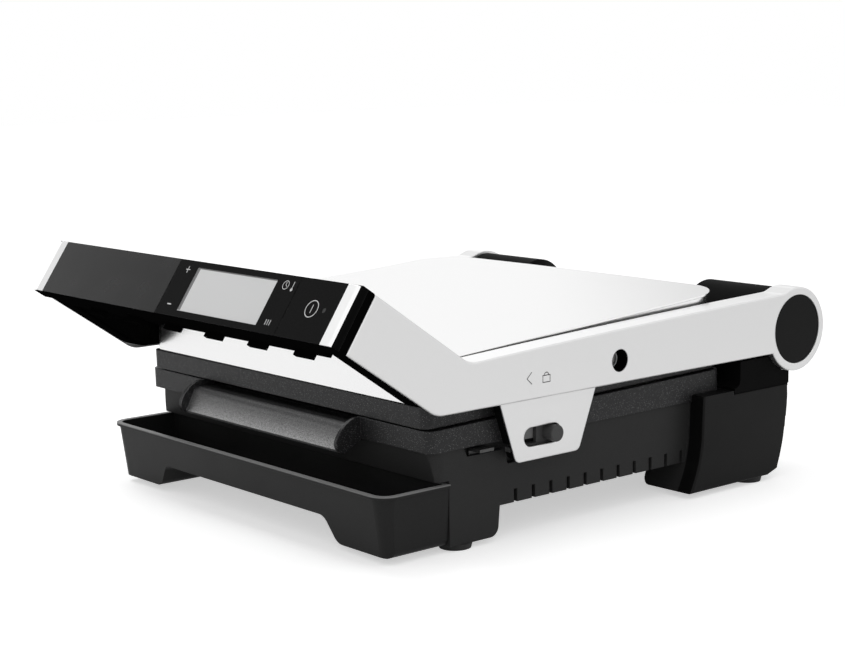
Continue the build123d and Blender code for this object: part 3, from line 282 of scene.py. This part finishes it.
def painted_slot_light(surface, colour):
    """Paint light on the lock's case: paler where the slider behind the knob runs, seen through the slot."""
    knob_low, knob_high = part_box("lock_knob")
    front, rear = knob_low.y - SLIDER_RUN * mm, knob_high.y
    along = add(surface.material, "ShaderNodeSeparateXYZ", links={"Vector": surface.where}).outputs["Y"]
    run = add(surface.material, "ShaderNodeMath", {1: (front + rear) / 2, 2: (rear - front) / 2}, {0: along},
              operation="COMPARE").outputs[0]
    repaint(surface, run, 0, 1, colour)
    print("case is painted pale from", round(front / mm, 1), "to", round(rear / mm, 1), "mm")


# painted shade on the towers, a painted highlight on the tray's rim, painted light on the lock's case
painted_tower_shade(shell_black, "#0A0A0A")
painted_rim_highlight(tray_black, "drip_tray", "#8C8C8C")
painted_slot_light(case_black, "#8A8A8A")

# %% [markdown]
# ## The floor of the spout
#
# Grease runs off the lower plate over a spout. Towards its lip the floor of the spout carries a painted
# highlight: a lighter, flecked grey that mirrors a little. A mask finds it: the faces at the very front of
# the casting, between the spout's cheeks, that look up. It is full at the lip and fades out over the nine
# millimetres behind it, and that fade is painted shade under the upper plate.

# %% Floor of the spout
SPOUT_HALF_WIDTH = 91.2
FADE_START, FADE_END = 4, 13
LEAST_RISE = 0.05


def spout_floor(surface):
    """One at the lip of the spout, falling to nought where its floor ends."""
    material = surface.material
    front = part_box("lower_plate")[0].y
    place = add(material, "ShaderNodeSeparateXYZ", links={"Vector": surface.where}).outputs
    facing = add(material, "ShaderNodeNewGeometry").outputs["True Normal"]
    rise = add(material, "ShaderNodeSeparateXYZ", links={"Vector": facing}).outputs["Z"]
    across = add(material, "ShaderNodeMath", {1: 0, 2: SPOUT_HALF_WIDTH * mm}, {0: place["X"]},
                 operation="COMPARE")
    values = {"From Min": front + FADE_START * mm, "From Max": front + FADE_END * mm,
              "To Min": 1, "To Max": 0}
    ahead = add(material, "ShaderNodeMapRange", values, {"Value": place["Y"]})
    upward = add(material, "ShaderNodeMath", {1: LEAST_RISE}, {0: rise}, operation="GREATER_THAN")
    mask = add(material, "ShaderNodeMath", links={0: across.outputs[0], 1: ahead.outputs[0]},
               operation="MULTIPLY")
    return add(material, "ShaderNodeMath", links={0: mask.outputs[0], 1: upward.outputs[0]},
               operation="MULTIPLY").outputs[0]


print("spout is", 2 * SPOUT_HALF_WIDTH, "mm wide between its cheeks")

# %% [markdown]
# ## Non-stick coating on a casting
#
# Both plates are cast aluminium with a baked coating that is sprayed on in two colours: dark grey, then a
# mist of pale droplets under a clear coat. The droplets are the small cells of a Voronoi texture, kept only
# where a noise lets them through, so that they lie unevenly. They are drawn about 1 mm apart, a little
# coarser than real ones, so that they show. The casting below gives a soft, pebbled bump, so the eye sees
# a dark, speckled stone that glints a little.

# %% Speckled non-stick casting
def droplets(surface, size, mist_size, colour):
    """Pale droplets of a size in millimetres, gathered unevenly by a coarser mist."""
    material = surface.material
    cells = add(material, "ShaderNodeTexVoronoi", {"Scale": 1 / (size * mm)}, {"Vector": surface.where})
    mist = add(material, "ShaderNodeTexNoise", {"Scale": 1 / (mist_size * mm)}, {"Vector": surface.where})
    fade_out = {"From Min": 0.12, "From Max": 0.32, "To Min": 1, "To Max": 0}
    round_drops = add(material, "ShaderNodeMapRange", fade_out, {"Value": cells.outputs["Distance"]})
    let_through = add(material, "ShaderNodeMapRange", {"From Min": 0.34, "From Max": 0.50},
                      {"Value": mist.outputs["Fac"]})
    shown = add(material, "ShaderNodeMath", links={0: round_drops.outputs[0], 1: let_through.outputs[0]},
                operation="MULTIPLY")
    repaint(surface, shown.outputs[0], 0, 1, colour)


def painted_spout_highlight(surface, mask, dark, light, fleck_size):
    """A painted highlight of flecked, metallic grey where a mask says so, with flecks of a size in
    millimetres.
    """
    material = surface.material
    values = {"Scale": 1 / (fleck_size * mm), "Detail": 3, "Roughness": 0.7}
    hills = add(material, "ShaderNodeTexNoise", values, {"Vector": surface.where})
    fleck = add(material, "ShaderNodeMapRange", {"From Min": 0.35, "From Max": 0.65},
                {"Value": hills.outputs["Fac"]})
    painted_flecks = add(material, "ShaderNodeMix", {MIX_FIRST: tone(dark), MIX_SECOND: tone(light)},
               {MIX_SHARE: fleck.outputs["Result"]}, data_type="RGBA")
    coated = surface.shader.inputs["Base Color"].links[0].from_socket
    both_tones = add(material, "ShaderNodeMix", data_type="RGBA",
                     links={MIX_SHARE: mask, MIX_FIRST: coated, MIX_SECOND: painted_flecks.outputs[MIX_RESULT]})
    feed(surface, "Base Color", both_tones.outputs[MIX_RESULT])
    feed(surface, "Metallic", mask)


coating = start("speckled_nonstick_on_cast_aluminium", "#222223", roughness=0.45, edge=0.8,
                values={"IOR": 1.45, "Specular IOR Level": 0.3})
droplets(coating, size=1.0, mist_size=1.8, colour="#747474")
# painted highlight on the spout's floor, fading into painted shade under the upper plate
painted_spout_highlight(coating, spout_floor(coating), "#707070", "#BCBCBC", fleck_size=0.7)
grained(coating, size=0.9, detail=4, coarse=0.6, depth=0.12, sheen=(0.32, 0.48))
print("made", coating.material.name, "with", len(coating.material.node_tree.nodes), "nodes")

# %% [markdown]
# ## Gloss tiles, display, lamp and print
#
# The panel's face is three tiles of black acrylic, smooth enough to mirror the room. Their only texture is
# a very slight waviness, which real moulded gloss has. The left tile is a satin one, so it mirrors less
# and looks greyer. The display is a pale grey liquid crystal behind a satin window. The lamp beside the
# power mark is a smoked lens. The marks on the panel are pale screen-printed ink, and those on the arm are
# etched dark by a laser: ink and etching are matt and uneven at the scale of the printing screen.

# %% Gloss tiles, display, lamp and print
def gloss_acrylic(name, colour, roughness):
    surface = start(name, colour, roughness, edge=0.06, values={"IOR": 1.49})
    grained(surface, size=14, detail=1, depth=0.01)
    grained(surface, size=25, detail=3, sheen=(roughness - 0.01, roughness + 0.02))
    return surface


def two_tone(name, dark, light, size, roughness, edge, ior=1.5, detail=2):
    """A smooth surface with two close tones that blend over a size in millimetres."""
    surface = start(name, dark, roughness, edge, values={"IOR": ior})
    grained(surface, size, detail=detail, light=light, middle=(0, 1))
    return surface


gloss = gloss_acrylic("gloss_black_acrylic", "#0B0B0B", roughness=0.05)
satin = gloss_acrylic("satin_black_acrylic", "#0A0A0A", roughness=0.26)
display = two_tone("satin_display_window", "#DCDDDD", "#E7E7E7", size=70, roughness=0.28, edge=0.2, ior=1.49,
                   detail=1)
grained(display, size=0.4, depth=0.002)
lens = two_tone("smoked_lamp_lens", "#333333", "#4C4C4C", size=0.8, roughness=0.2, edge=0.2, ior=1.49)
ink = two_tone("pale_screen_print", "#D0D0D0", "#E6E6E6", size=0.4, roughness=0.5, edge=0.05)
etched = two_tone("dark_etched_mark", "#333333", "#474747", size=0.4, roughness=0.6, edge=0.05)
print("made", [made.material.name for made in (gloss, satin, display, lens, ink, etched)])

# %% [markdown]
# ## Metals inside
#
# The hidden pieces show when the lid is open or the model is taken apart, so each has its own finish.
# Zinc-plated steel on shafts, pins and screws is a cool, faintly mottled silver. The lock's keeper is
# phosphated steel, a dull dark grey. The heating elements have the brownish oxide of a sheath that has
# glowed. The reflectors are rolled aluminium, with fine lines along the roll. The probes are warm nickel.

# %% Metals inside
def worked_metal(name, dark, light, roughness, size, stretch=None):
    surface = start(name, dark, roughness, edge=0.2, stretch=stretch, values={"Metallic": 1})
    grained(surface, size, detail=3, depth=0.003, light=light, sheen=(roughness - 0.05, roughness + 0.08))
    return surface


zinc = worked_metal("zinc_plated_steel", "#A9A9A6", "#C4C4C0", roughness=0.32, size=0.8)
phosphated = worked_metal("phosphated_steel", "#4C4C4C", "#606060", roughness=0.5, size=0.6)
sheath = worked_metal("oxidised_element_sheath", "#4A4541", "#6A625B", roughness=0.5, size=1.6)
rolled = worked_metal("rolled_aluminium_sheet", "#C2C2C2", "#D6D6D6", roughness=0.3, size=0.6,
                      stretch=(1, 60, 1))
probe = worked_metal("nickel_plated_probe", "#A39E94", "#B9B4A8", roughness=0.3, size=0.7)
print("made", [made.material.name for made in (zinc, phosphated, sheath, rolled, probe)])

# %% [markdown]
# ## Plastics, rubber and boards inside
#
# Bearing bushes are natural acetal, a waxy off-white. The feet are soft black rubber, which hardly reflects.
# The cable has a dark silicone sleeve, the display module a plain grey case, and the terminal block is
# ceramic. The rims of the pivot bolts carry a painted highlight, the glint on their edges, drawn as a pale
# matt paint and not as a metal. The boards are green laminate with rows of tracks 2.5 mm apart.

# %% Plastics, rubber and boards inside
def plain_polymer(name, dark, light, roughness, size, depth=0.01):
    surface = start(name, dark, roughness, edge=0.3, values={"IOR": 1.5})
    grained(surface, size, detail=3, depth=depth, light=light)
    return surface


def board_laminate(dark, light, track):
    surface = start("green_board_laminate", dark, roughness=0.4, edge=0.1, values={"IOR": 1.55})
    values = {"Scale": 1.0, "Mortar Size": 0.4 * mm, "Brick Width": 9 * mm, "Row Height": 2.5 * mm,
              "Color1": tone(dark), "Color2": tone(light), "Mortar": tone(track)}
    tracks = add(surface.material, "ShaderNodeTexBrick", values, {"Vector": surface.where})
    bump = add(surface.material, "ShaderNodeBump", {"Strength": 1, "Distance": 0.03 * mm},
               {"Height": tracks.outputs["Fac"], "Normal": surface.bevel})
    feed(surface, "Base Color", tracks.outputs["Color"])
    feed(surface, "Normal", bump.outputs["Normal"])
    return surface


acetal = plain_polymer("natural_acetal", "#D8D2C2", "#E2DDD0", roughness=0.4, size=1.5, depth=0.003)
rubber = plain_polymer("soft_rubber", "#1B1B1B", "#262626", roughness=0.75, size=0.5, depth=0.02)
sleeve = plain_polymer("silicone_cable_sleeve", "#2A2A2A", "#353535", roughness=0.6, size=0.8)
grey_case = plain_polymer("mid_grey_plastic", "#6E6E6E", "#7C7C7C", roughness=0.5, size=0.6)
ceramic = plain_polymer("ceramic_terminal_block", "#D5D1C6", "#E2DFD6", roughness=0.5, size=0.7)
# painted highlight: the pale matt paint of the bolt heads' rims
rim_highlight_paint = plain_polymer("painted_bolt_rim_highlight", "#F0F0F0", "#FFFFFF", roughness=0.6, size=0.5,
                           depth=0.003)
laminate = board_laminate("#1F5A35", "#24653C", "#2F7A4A")
inside = [acetal, rubber, sleeve, grey_case, ceramic, rim_highlight_paint, laminate]
print("made", [made.material.name for made in inside])

# %% [markdown]
# ## Dress every solid
#
# One table says which finish each family of pieces has. A pair shares a line, because a left piece and its
# right twin come from the same tool or the same sheet.

# %% Dress every solid
def both(*names):
    """The right and left node of each name."""
    return [name + side for name in names for side in ("_right", "_left")]


finishes = [
    (aluminium, both("arm_shell") + ["lock_tab"]),
    (bright_trim, both("panel_trim")),
    (stainless, ["top_cover", "upper_housing"]),
    (shell_black, ["base_shell"]),
    (black, ["bottom_plate", "cord_gland"]),
    (tray_black, ["drip_tray"]),
    (deep_black, both("hinge_tower")),
    (shade_black, both("arm_liner") + ["control_box"]),
    (cap_black, both("hinge_cap")),
    (knob_black, ["lock_knob", "lock_slider"]),
    (case_black, ["lock_case"]),
    (coating, ["upper_plate", "lower_plate"]),
    (gloss, ["panel_tile_display", "panel_tile_power"]),
    (satin, ["panel_tile_left"]),
    (display, ["display_window"]),
    (lens, ["status_led"]),
    (zinc, both("hinge_shaft", "pivot_pin", "pivot_bracket") + ["hinge_nuts", "base_screws"]),
    (phosphated, ["lock_keeper"]),
    (sheath, ["lower_heating_element", "upper_heating_element"]),
    (rolled, ["lower_reflector", "upper_reflector"]),
    (probe, ["lower_sensor", "upper_sensor", "thermal_fuse"]),
    (acetal, both("hinge_bushes")),
    (rubber, ["rubber_feet"]),
    (sleeve, ["arm_cable"]),
    (grey_case, ["display_module"]),
    (ceramic, ["terminal_block"]),
    (laminate, ["control_board", "power_board"]),
]
for finish, names in finishes:
    for name in names:
        mesh = nodes[name].data
        mesh.materials.clear()
        mesh.materials.append(finish.material)
print("finishes", len(finishes), "dressed", sum(len(names) for finish, names in finishes), "of", len(nodes))

# %% [markdown]
# ## Strokes for thin marks
#
# Real ink and etching are a few hundredths of a millimetre thick. They are drawn as thin solid shapes, the
# ink a little thicker than life, so that they stay clean in every export. Every mark is made of a few
# strokes on a flat sheet, measured in millimetres: a bar is a grid of one face, a ring is two circles
# bridged, a dot is a filled circle, and an arc is one edge spun about a centre.

# %% Bars, rings, dots and arcs
def bar(shape, near, far, width):
    """A straight stroke between two points."""
    near, far = Vector((*near, 0)), Vector((*far, 0))
    along = far - near
    turn = Matrix.Rotation(math.atan2(along.y, along.x), 4, "Z")
    size = Matrix.Diagonal((along.length / 2, width / 2, 1, 1))
    middle = Matrix.Translation((near + far) / 2)
    bmesh.ops.create_grid(shape, x_segments=1, y_segments=1, size=1, matrix=middle @ turn @ size)


def ring(shape, centre, radius, width, sides=48):
    """A closed ring."""
    middle = Matrix.Translation((*centre, 0))
    loops = []
    for reach in (radius - width / 2, radius + width / 2):
        made = bmesh.ops.create_circle(shape, segments=sides, radius=reach, matrix=middle)
        loops += list({edge for vert in made["verts"] for edge in vert.link_edges})
    bmesh.ops.bridge_loops(shape, edges=loops)


def dot(shape, centre, radius, sides=24):
    """A filled dot."""
    middle = Matrix.Translation((*centre, 0))
    bmesh.ops.create_circle(shape, cap_ends=True, segments=sides, radius=radius, matrix=middle)


def arc(shape, centre, radius, width, first, last, steps=24):
    """A stroke round a centre from one angle to another, in degrees."""
    middle = Vector((*centre, 0))
    way = Vector((math.cos(math.radians(first)), math.sin(math.radians(first)), 0))
    inner = shape.verts.new(middle + way * (radius - width / 2))
    outer = shape.verts.new(middle + way * (radius + width / 2))
    edge = shape.edges.new((inner, outer))
    bmesh.ops.spin(shape, geom=[inner, outer, edge], cent=middle, axis=(0, 0, 1),
                   angle=math.radians(last - first), steps=steps)


print("strokes are", [stroke.__name__ for stroke in (bar, ring, dot, arc)])

# %% [markdown]
# ## From strokes to a piece
#
# The flat drawing is thickened both ways about its sheet, and then one matrix puts it on the panel or on an
# arm. The object itself stays at the origin and its place goes into its mesh, so that Object coordinates
# mean the same thing on every piece. Every mark rides on the yoke, because the panel and both arms do.

# %% Turn strokes into a piece
def mark(name, strokes, thickness, rise, placed, surface):
    """Draw strokes as a thin solid, its middle raised by some millimetres from the sheet."""
    shape = bmesh.new()
    for stroke, *measures in strokes:
        stroke(shape, *measures)
    bmesh.ops.translate(shape, verts=shape.verts, vec=(0, 0, -thickness / 2))
    made = bmesh.ops.extrude_face_region(shape, geom=shape.faces[:])
    lifted = [item for item in made["geom"] if isinstance(item, bmesh.types.BMVert)]
    bmesh.ops.translate(shape, verts=lifted, vec=(0, 0, thickness))
    bmesh.ops.translate(shape, verts=shape.verts, vec=(0, 0, rise))
    shape.transform(placed @ Matrix.Scale(mm, 4))
    bmesh.ops.recalc_face_normals(shape, faces=shape.faces)
    mesh = bpy.data.meshes.new(name)
    shape.to_mesh(mesh)
    shape.free()
    mesh.materials.append(surface.material)
    piece = bpy.data.objects.new(name, mesh)
    bpy.context.scene.collection.objects.link(piece)
    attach(piece, "yoke")
    print("drew", name, "with", len(mesh.polygons), "faces")


# %% [markdown]
# ## Where the panel is
#
# The panel rises 55.5 degrees from level. Its plane is found from the left tile: the lower edge of the face
# is the front of that tile's box, raised from the box's foot by what the tile's thickness takes up. Places
# on the face are then given as on a drawing of it, in millimetres across from the middle and up from that
# edge.

# %% The panel's own plane
PANEL_TILT = math.radians(55.5)
TILE_THICK = 1.6 * mm
tile_low, tile_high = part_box("panel_tile_left")
face_up = Vector((0, math.cos(PANEL_TILT), math.sin(PANEL_TILT)))
face_out = Vector((0, -math.sin(PANEL_TILT), math.cos(PANEL_TILT)))
face_edge = Vector((0, tile_low.y, tile_low.z + TILE_THICK * math.cos(PANEL_TILT)))
turned = Matrix((Vector((1, 0, 0)), face_up, face_out)).transposed().to_4x4()
on_panel = Matrix.Translation(face_edge) @ turned
face_height = (tile_high.z - face_edge.z) / math.sin(PANEL_TILT)
print("panel face is", round(face_height / mm, 1), "mm high")

# %% [markdown]
# ## The trims' black flanks
#
# Only the face of each trim shows bare metal. The flank that wraps round the end of the panel is anodised
# black. A material can tell the two apart by depth: the distance of a place below the panel's own plane.

# %% Black below the face
def black_flank(surface, depth, colour):
    """Blacken a metal where it lies deeper than some millimetres below the panel's face."""
    level = face_edge.dot(face_out) - depth * mm
    height = add(surface.material, "ShaderNodeVectorMath", {1: face_out}, {0: surface.where},
                 operation="DOT_PRODUCT").outputs["Value"]
    repaint(surface, height, level, level - HAIRLINE * mm, colour)


FLANK_DEPTH = 1.0
black_flank(bright_trim, FLANK_DEPTH, "#0C0C0C")
print("trims turn black", FLANK_DEPTH, "mm below the face")

# %% [markdown]
# ## Printed marks on the panel
#
# The panel carries a plus and a minus at the left of the display, a clock, a thermometer and three bars at
# its right, and a power mark on the last tile. Each is printed on the gloss, and half of its ink is sunk in
# the face, which leaves no gap.

# %% Marks on the panel
INK_THICK = 0.12
HEAVY, BOLD, LINE, THIN, FINE = 0.8, 0.6, 0.55, 0.5, 0.42
clock, bulb, power = (109.2, 33.8), (116.6, 31.2), (144.8, 21.2)
panel_marks = {
    "plus_mark": [(bar, (-3.4, 34), (1.4, 34), BOLD), (bar, (-1, 31.6), (-1, 36.4), BOLD)],
    "minus_mark": [(bar, (-4.6, 7.9), (-0.2, 7.9), HEAVY)],
    "clock_mark": [(ring, clock, 2.9, FINE), (bar, clock, (109.2, 35.9), FINE),
                   (bar, clock, (110.8, 32.9), FINE)],
    "thermometer_mark": [(dot, bulb, 1.1), (bar, bulb, (116.6, 36.8), THIN)],
    "power_mark": [(ring, power, 5.6, LINE, 64), (bar, (144.8, 18.4), (144.8, 24), LINE)],
    "rib_mark": [(bar, (across, 5.8), (across, 9.6), LINE) for across in (107.4, 109.6, 111.8)],
}
for name, strokes in panel_marks.items():
    mark(name, strokes, INK_THICK, rise=0, placed=on_panel, surface=ink)

# %% [markdown]
# ## Painted shade round the display
#
# At the left and along the top of the display, the walls of the recess round the window throw a narrow
# shade. It is painted shade: grey strips that lie in the recess between the window and the tile, 0.29 mm
# below the face.

# %% Painted shade round the display
window_low, window_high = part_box("display_window")
window_left, window_right = window_low.x / mm, window_high.x / mm
shade_foot, shade_top = 5.1, 36.9
recess_shade = [(bar, (window_left + 1.6, shade_foot), (window_left + 1.6, shade_top), 3.0),
          (bar, (window_left + 3.1, shade_top - 0.7), (window_right, shade_top - 0.7), 1.2)]
# painted shade: grey strips along the left and the top of the display's recess
mark("display_recess_shade", recess_shade, thickness=0.04, rise=-0.29, placed=on_panel, surface=grey_case)

# %% [markdown]
# ## Marks on the right arm
#
# Above the lock an arrow head shows which way the knob slides, with a small padlock beside it. They are
# etched into the arm, so they are dark and thin. The same strokes draw them, on a plane that faces right:
# its across direction runs to the rear, along Y, and is measured from the lid's hinge.

# %% Arrow and padlock on the arm
arm_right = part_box("arm_shell_right")[1].x
hinge = next(joint for joint in frame["joints"] if joint["name"] == "lid_hinge")
facing_right = Matrix(((0, 0, 1), (1, 0, 0), (0, 1, 0))).to_4x4()
on_arm = Matrix.Translation((arm_right, hinge["pos_m"][1], 0)) @ facing_right

ETCH_THICK = 0.04
tip = (-272.5, 109.5)
case_left, case_right, case_foot, case_top = -258.5, -252.1, 105.4, 109.9
corner = 0.27
arm_marks = {
    "lock_arrow_mark": [(bar, tip, (-268.3, 113.4), LINE), (bar, tip, (-268.3, 105.6), LINE)],
    "padlock_mark": [
        (bar, (case_left, case_foot), (case_right, case_foot), LINE),
        (bar, (case_left, case_top), (case_right, case_top), LINE),
        (bar, (case_left, case_foot - corner), (case_left, case_top + corner), LINE),
        (bar, (case_right, case_foot - corner), (case_right, case_top + corner), LINE),
        (arc, ((case_left + case_right) / 2, case_top), 1.9, LINE, 0, 180),
    ],
}
for name, strokes in arm_marks.items():
    mark(name, strokes, ETCH_THICK, rise=-ETCH_THICK / 2, placed=on_arm, surface=etched)

# %% [markdown]
# ## Painted highlights on the pivot bolts
#
# Deep in the hole of each arm sits the head of the shoulder bolt on which the lid tilts. Its rim and the rim
# of its hexagon socket carry a painted highlight: pale matt rings that stand for the light they catch in the
# dark hole. They are thin rings on the face of the head, with six sides for the hexagon.

# %% Rims of the bolt heads
bolt_low, bolt_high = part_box("pivot_pin_right")
bolt_middle = (bolt_low + bolt_high) / 2
rim_highlights = [(ring, (0, 0), 5.5, 0.8), (ring, (0, 0), 3.2, 0.6, 6)]
for side, across in (("right", bolt_high.x), ("left", -bolt_high.x)):
    centre = Matrix.Translation((across, bolt_middle.y, bolt_middle.z))
    mark("bolt_rim_highlight_" + side, rim_highlights, thickness=0.1, rise=0, placed=centre @ facing_right, surface=rim_highlight_paint)

# %% [markdown]
# ## A white sheet that doesn't light the grill
#
# The grill stands on a plain white sheet. To the eye the sheet glows a little, so that it stays white to
# the horizon, and metal and gloss show some of that glow. It throws none of it on the grill: the Light Path
# node tells the rays from the eye, and those by way of a mirror or glass, from the rays that carry light.

# %% Which rays see a glow, and the floor
FLOOR_REACH = 6


def seen_rays(owner, direct, mirrored):
    """One value for rays straight from the eye, one for rays by way of metal or glass, otherwise nought."""
    path = add(owner, "ShaderNodeLightPath").outputs
    bent = add(owner, "ShaderNodeMath", links={0: path["Is Glossy Ray"], 1: path["Is Transmission Ray"]},
               operation="MAXIMUM").outputs[0]
    straight = add(owner, "ShaderNodeMath", {1: direct}, {0: path["Is Camera Ray"]}, operation="MULTIPLY")
    mirror = add(owner, "ShaderNodeMath", {1: mirrored}, {0: bent}, operation="MULTIPLY")
    return add(owner, "ShaderNodeMath", links={0: straight.outputs[0], 1: mirror.outputs[0]},
               operation="MAXIMUM").outputs[0]


def floor_sheet(direct, mirrored):
    """A wide sheet under the grill, with its glow for the two kinds of ray."""
    shape = bmesh.new()
    bmesh.ops.create_grid(shape, x_segments=1, y_segments=1, size=FLOOR_REACH)
    mesh = bpy.data.meshes.new("floor")
    shape.to_mesh(mesh)
    shape.free()
    sheet = bpy.data.objects.new("floor", mesh)
    bpy.context.scene.collection.objects.link(sheet)
    material = bpy.data.materials.new("matt_white_sheet")
    material.use_nodes = True
    shader = material.node_tree.nodes["Principled BSDF"]
    shader.inputs["Base Color"].default_value = tone("#F4F4F4")
    shader.inputs["Roughness"].default_value = 0.9
    shader.inputs["Specular IOR Level"].default_value = 0.1
    shader.inputs["Emission Color"].default_value = (1, 1, 1, 1)
    material.node_tree.links.new(seen_rays(material, direct, mirrored), shader.inputs["Emission Strength"])
    mesh.materials.append(material)


floor_sheet(direct=0.52, mirrored=0.22)
print("floor reaches", FLOOR_REACH, "m each way")

# %% [markdown]
# ## A white room with two dark cards
#
# The room is white too, which is what makes silver look silver: metal shows what is around it. Two dark
# cards hang in that room, as in a photographer's studio. The gloss panel mirrors the small one, and the
# wide one takes the light off the rear right of the lid. Each is dark in its middle and fades out between
# two angles. The eye itself never sees them. The room gives less light than it shows, so that the lamps
# can shape the grill.

# %% The room
def dark_card(world, sight, azimuth, height, inner, outer, shade):
    """How bright the room is round a soft-edged round card, which is seen at two angles in degrees."""
    azimuth, height = math.radians(azimuth), math.radians(height)
    middle = (math.sin(azimuth) * math.cos(height), -math.cos(azimuth) * math.cos(height), math.sin(height))
    near = add(world, "ShaderNodeVectorMath", {1: middle}, {0: sight}, operation="DOT_PRODUCT")
    values = {"From Min": math.cos(math.radians(outer)), "From Max": math.cos(math.radians(inner)),
              "To Min": 1.0, "To Max": shade}
    return add(world, "ShaderNodeMapRange", values, {"Value": near.outputs["Value"]}).outputs["Result"]


def white_room(ambient):
    """A white world with two dark cards, a little dimmer as a source of light than it looks."""
    world = bpy.data.worlds.new("white_room")
    world.use_nodes = True
    bpy.context.scene.world = world
    sight = add(world, "ShaderNodeTexCoord").outputs["Generated"]
    small = dark_card(world, sight, azimuth=-66, height=29.5, inner=5.5, outer=12, shade=0.14)
    wide = dark_card(world, sight, azimuth=-150, height=8, inner=5, outer=17, shade=0.35)
    cards = add(world, "ShaderNodeMath", links={0: small, 1: wide}, operation="MULTIPLY").outputs[0]
    seen = seen_rays(world, direct=1, mirrored=1)
    glow = add(world, "ShaderNodeMath", {1: ambient}, {0: seen}, operation="MAXIMUM").outputs[0]
    dimmed = add(world, "ShaderNodeMath", links={0: glow, 1: cards}, operation="MULTIPLY").outputs[0]
    direct = add(world, "ShaderNodeLightPath").outputs["Is Camera Ray"]
    strength = add(world, "ShaderNodeMath", links={0: dimmed, 1: direct}, operation="MAXIMUM").outputs[0]
    background = world.node_tree.nodes["Background"]
    background.inputs["Color"].default_value = (1, 1, 1, 1)
    world.node_tree.links.new(strength, background.inputs["Strength"])
    print("room gives", ambient, "of the light it shows")


white_room(ambient=0.55)

# %% [markdown]
# ## Three soft lamps
#
# A wide lamp above, one at the front right and a stronger one at the front left add shape. All three are
# weak, because the white room already lights the grill from all sides, and each looks at its middle.

# %% Lamps
GRILL_MIDDLE = Vector((0, 0, 0.1))


def soft_lamp(name, place, size, power):
    """A square lamp, its size in metres and its power in watts, that looks at the grill's middle."""
    lamp = bpy.data.lights.new(name, "AREA")
    lamp.shape = "SQUARE"
    lamp.size = size
    lamp.energy = power
    made = bpy.data.objects.new(name, lamp)
    made.location = place
    made.rotation_euler = (Vector(place) - GRILL_MIDDLE).to_track_quat("Z", "Y").to_euler()
    bpy.context.scene.collection.objects.link(made)
    print("lit", name, "with", power, "W")


soft_lamp("lamp_above", (0.2, -0.1, 1.6), size=1.4, power=4)
soft_lamp("lamp_front_right", (1.5, -1.3, 0.9), size=1.0, power=2)
soft_lamp("lamp_front_left", (-1.0, -0.3, 1.5), size=0.8, power=6)

# %% [markdown]
# ## The camera
#
# The camera stands to the front right, low, at the angle of the photograph, and leans by under one degree.
# Its three own directions, right, up and back, are worked out from those angles and are the columns of its
# matrix.

# %% The camera
camera_place = Vector((1.0036, -0.8503, 0.3223))
azimuth, elevation, roll = (math.radians(angle) for angle in (50.06, 9.23, -0.87))
level = math.cos(elevation)
back = Vector((math.sin(azimuth) * level, -math.cos(azimuth) * level, math.sin(elevation)))
right = Vector((math.cos(azimuth), math.sin(azimuth), 0))
up = back.cross(right)
camera_right = math.cos(roll) * right + math.sin(roll) * up
camera_up = math.cos(roll) * up - math.sin(roll) * right
camera_data = bpy.data.cameras.new("camera")
camera_data.sensor_width = 36
camera_data.lens = 76.71
camera_data.clip_start = 0.05
camera = bpy.data.objects.new("camera", camera_data)
camera.matrix_world = (Matrix.Translation(camera_place)
                       @ Matrix((camera_right, camera_up, back)).transposed().to_4x4())
bpy.context.scene.collection.objects.link(camera)
bpy.context.scene.camera = camera
bpy.context.scene.view_settings.view_transform = "Standard"
print("camera stands", round((camera_place - GRILL_MIDDLE).length, 2), "m from the grill's middle")
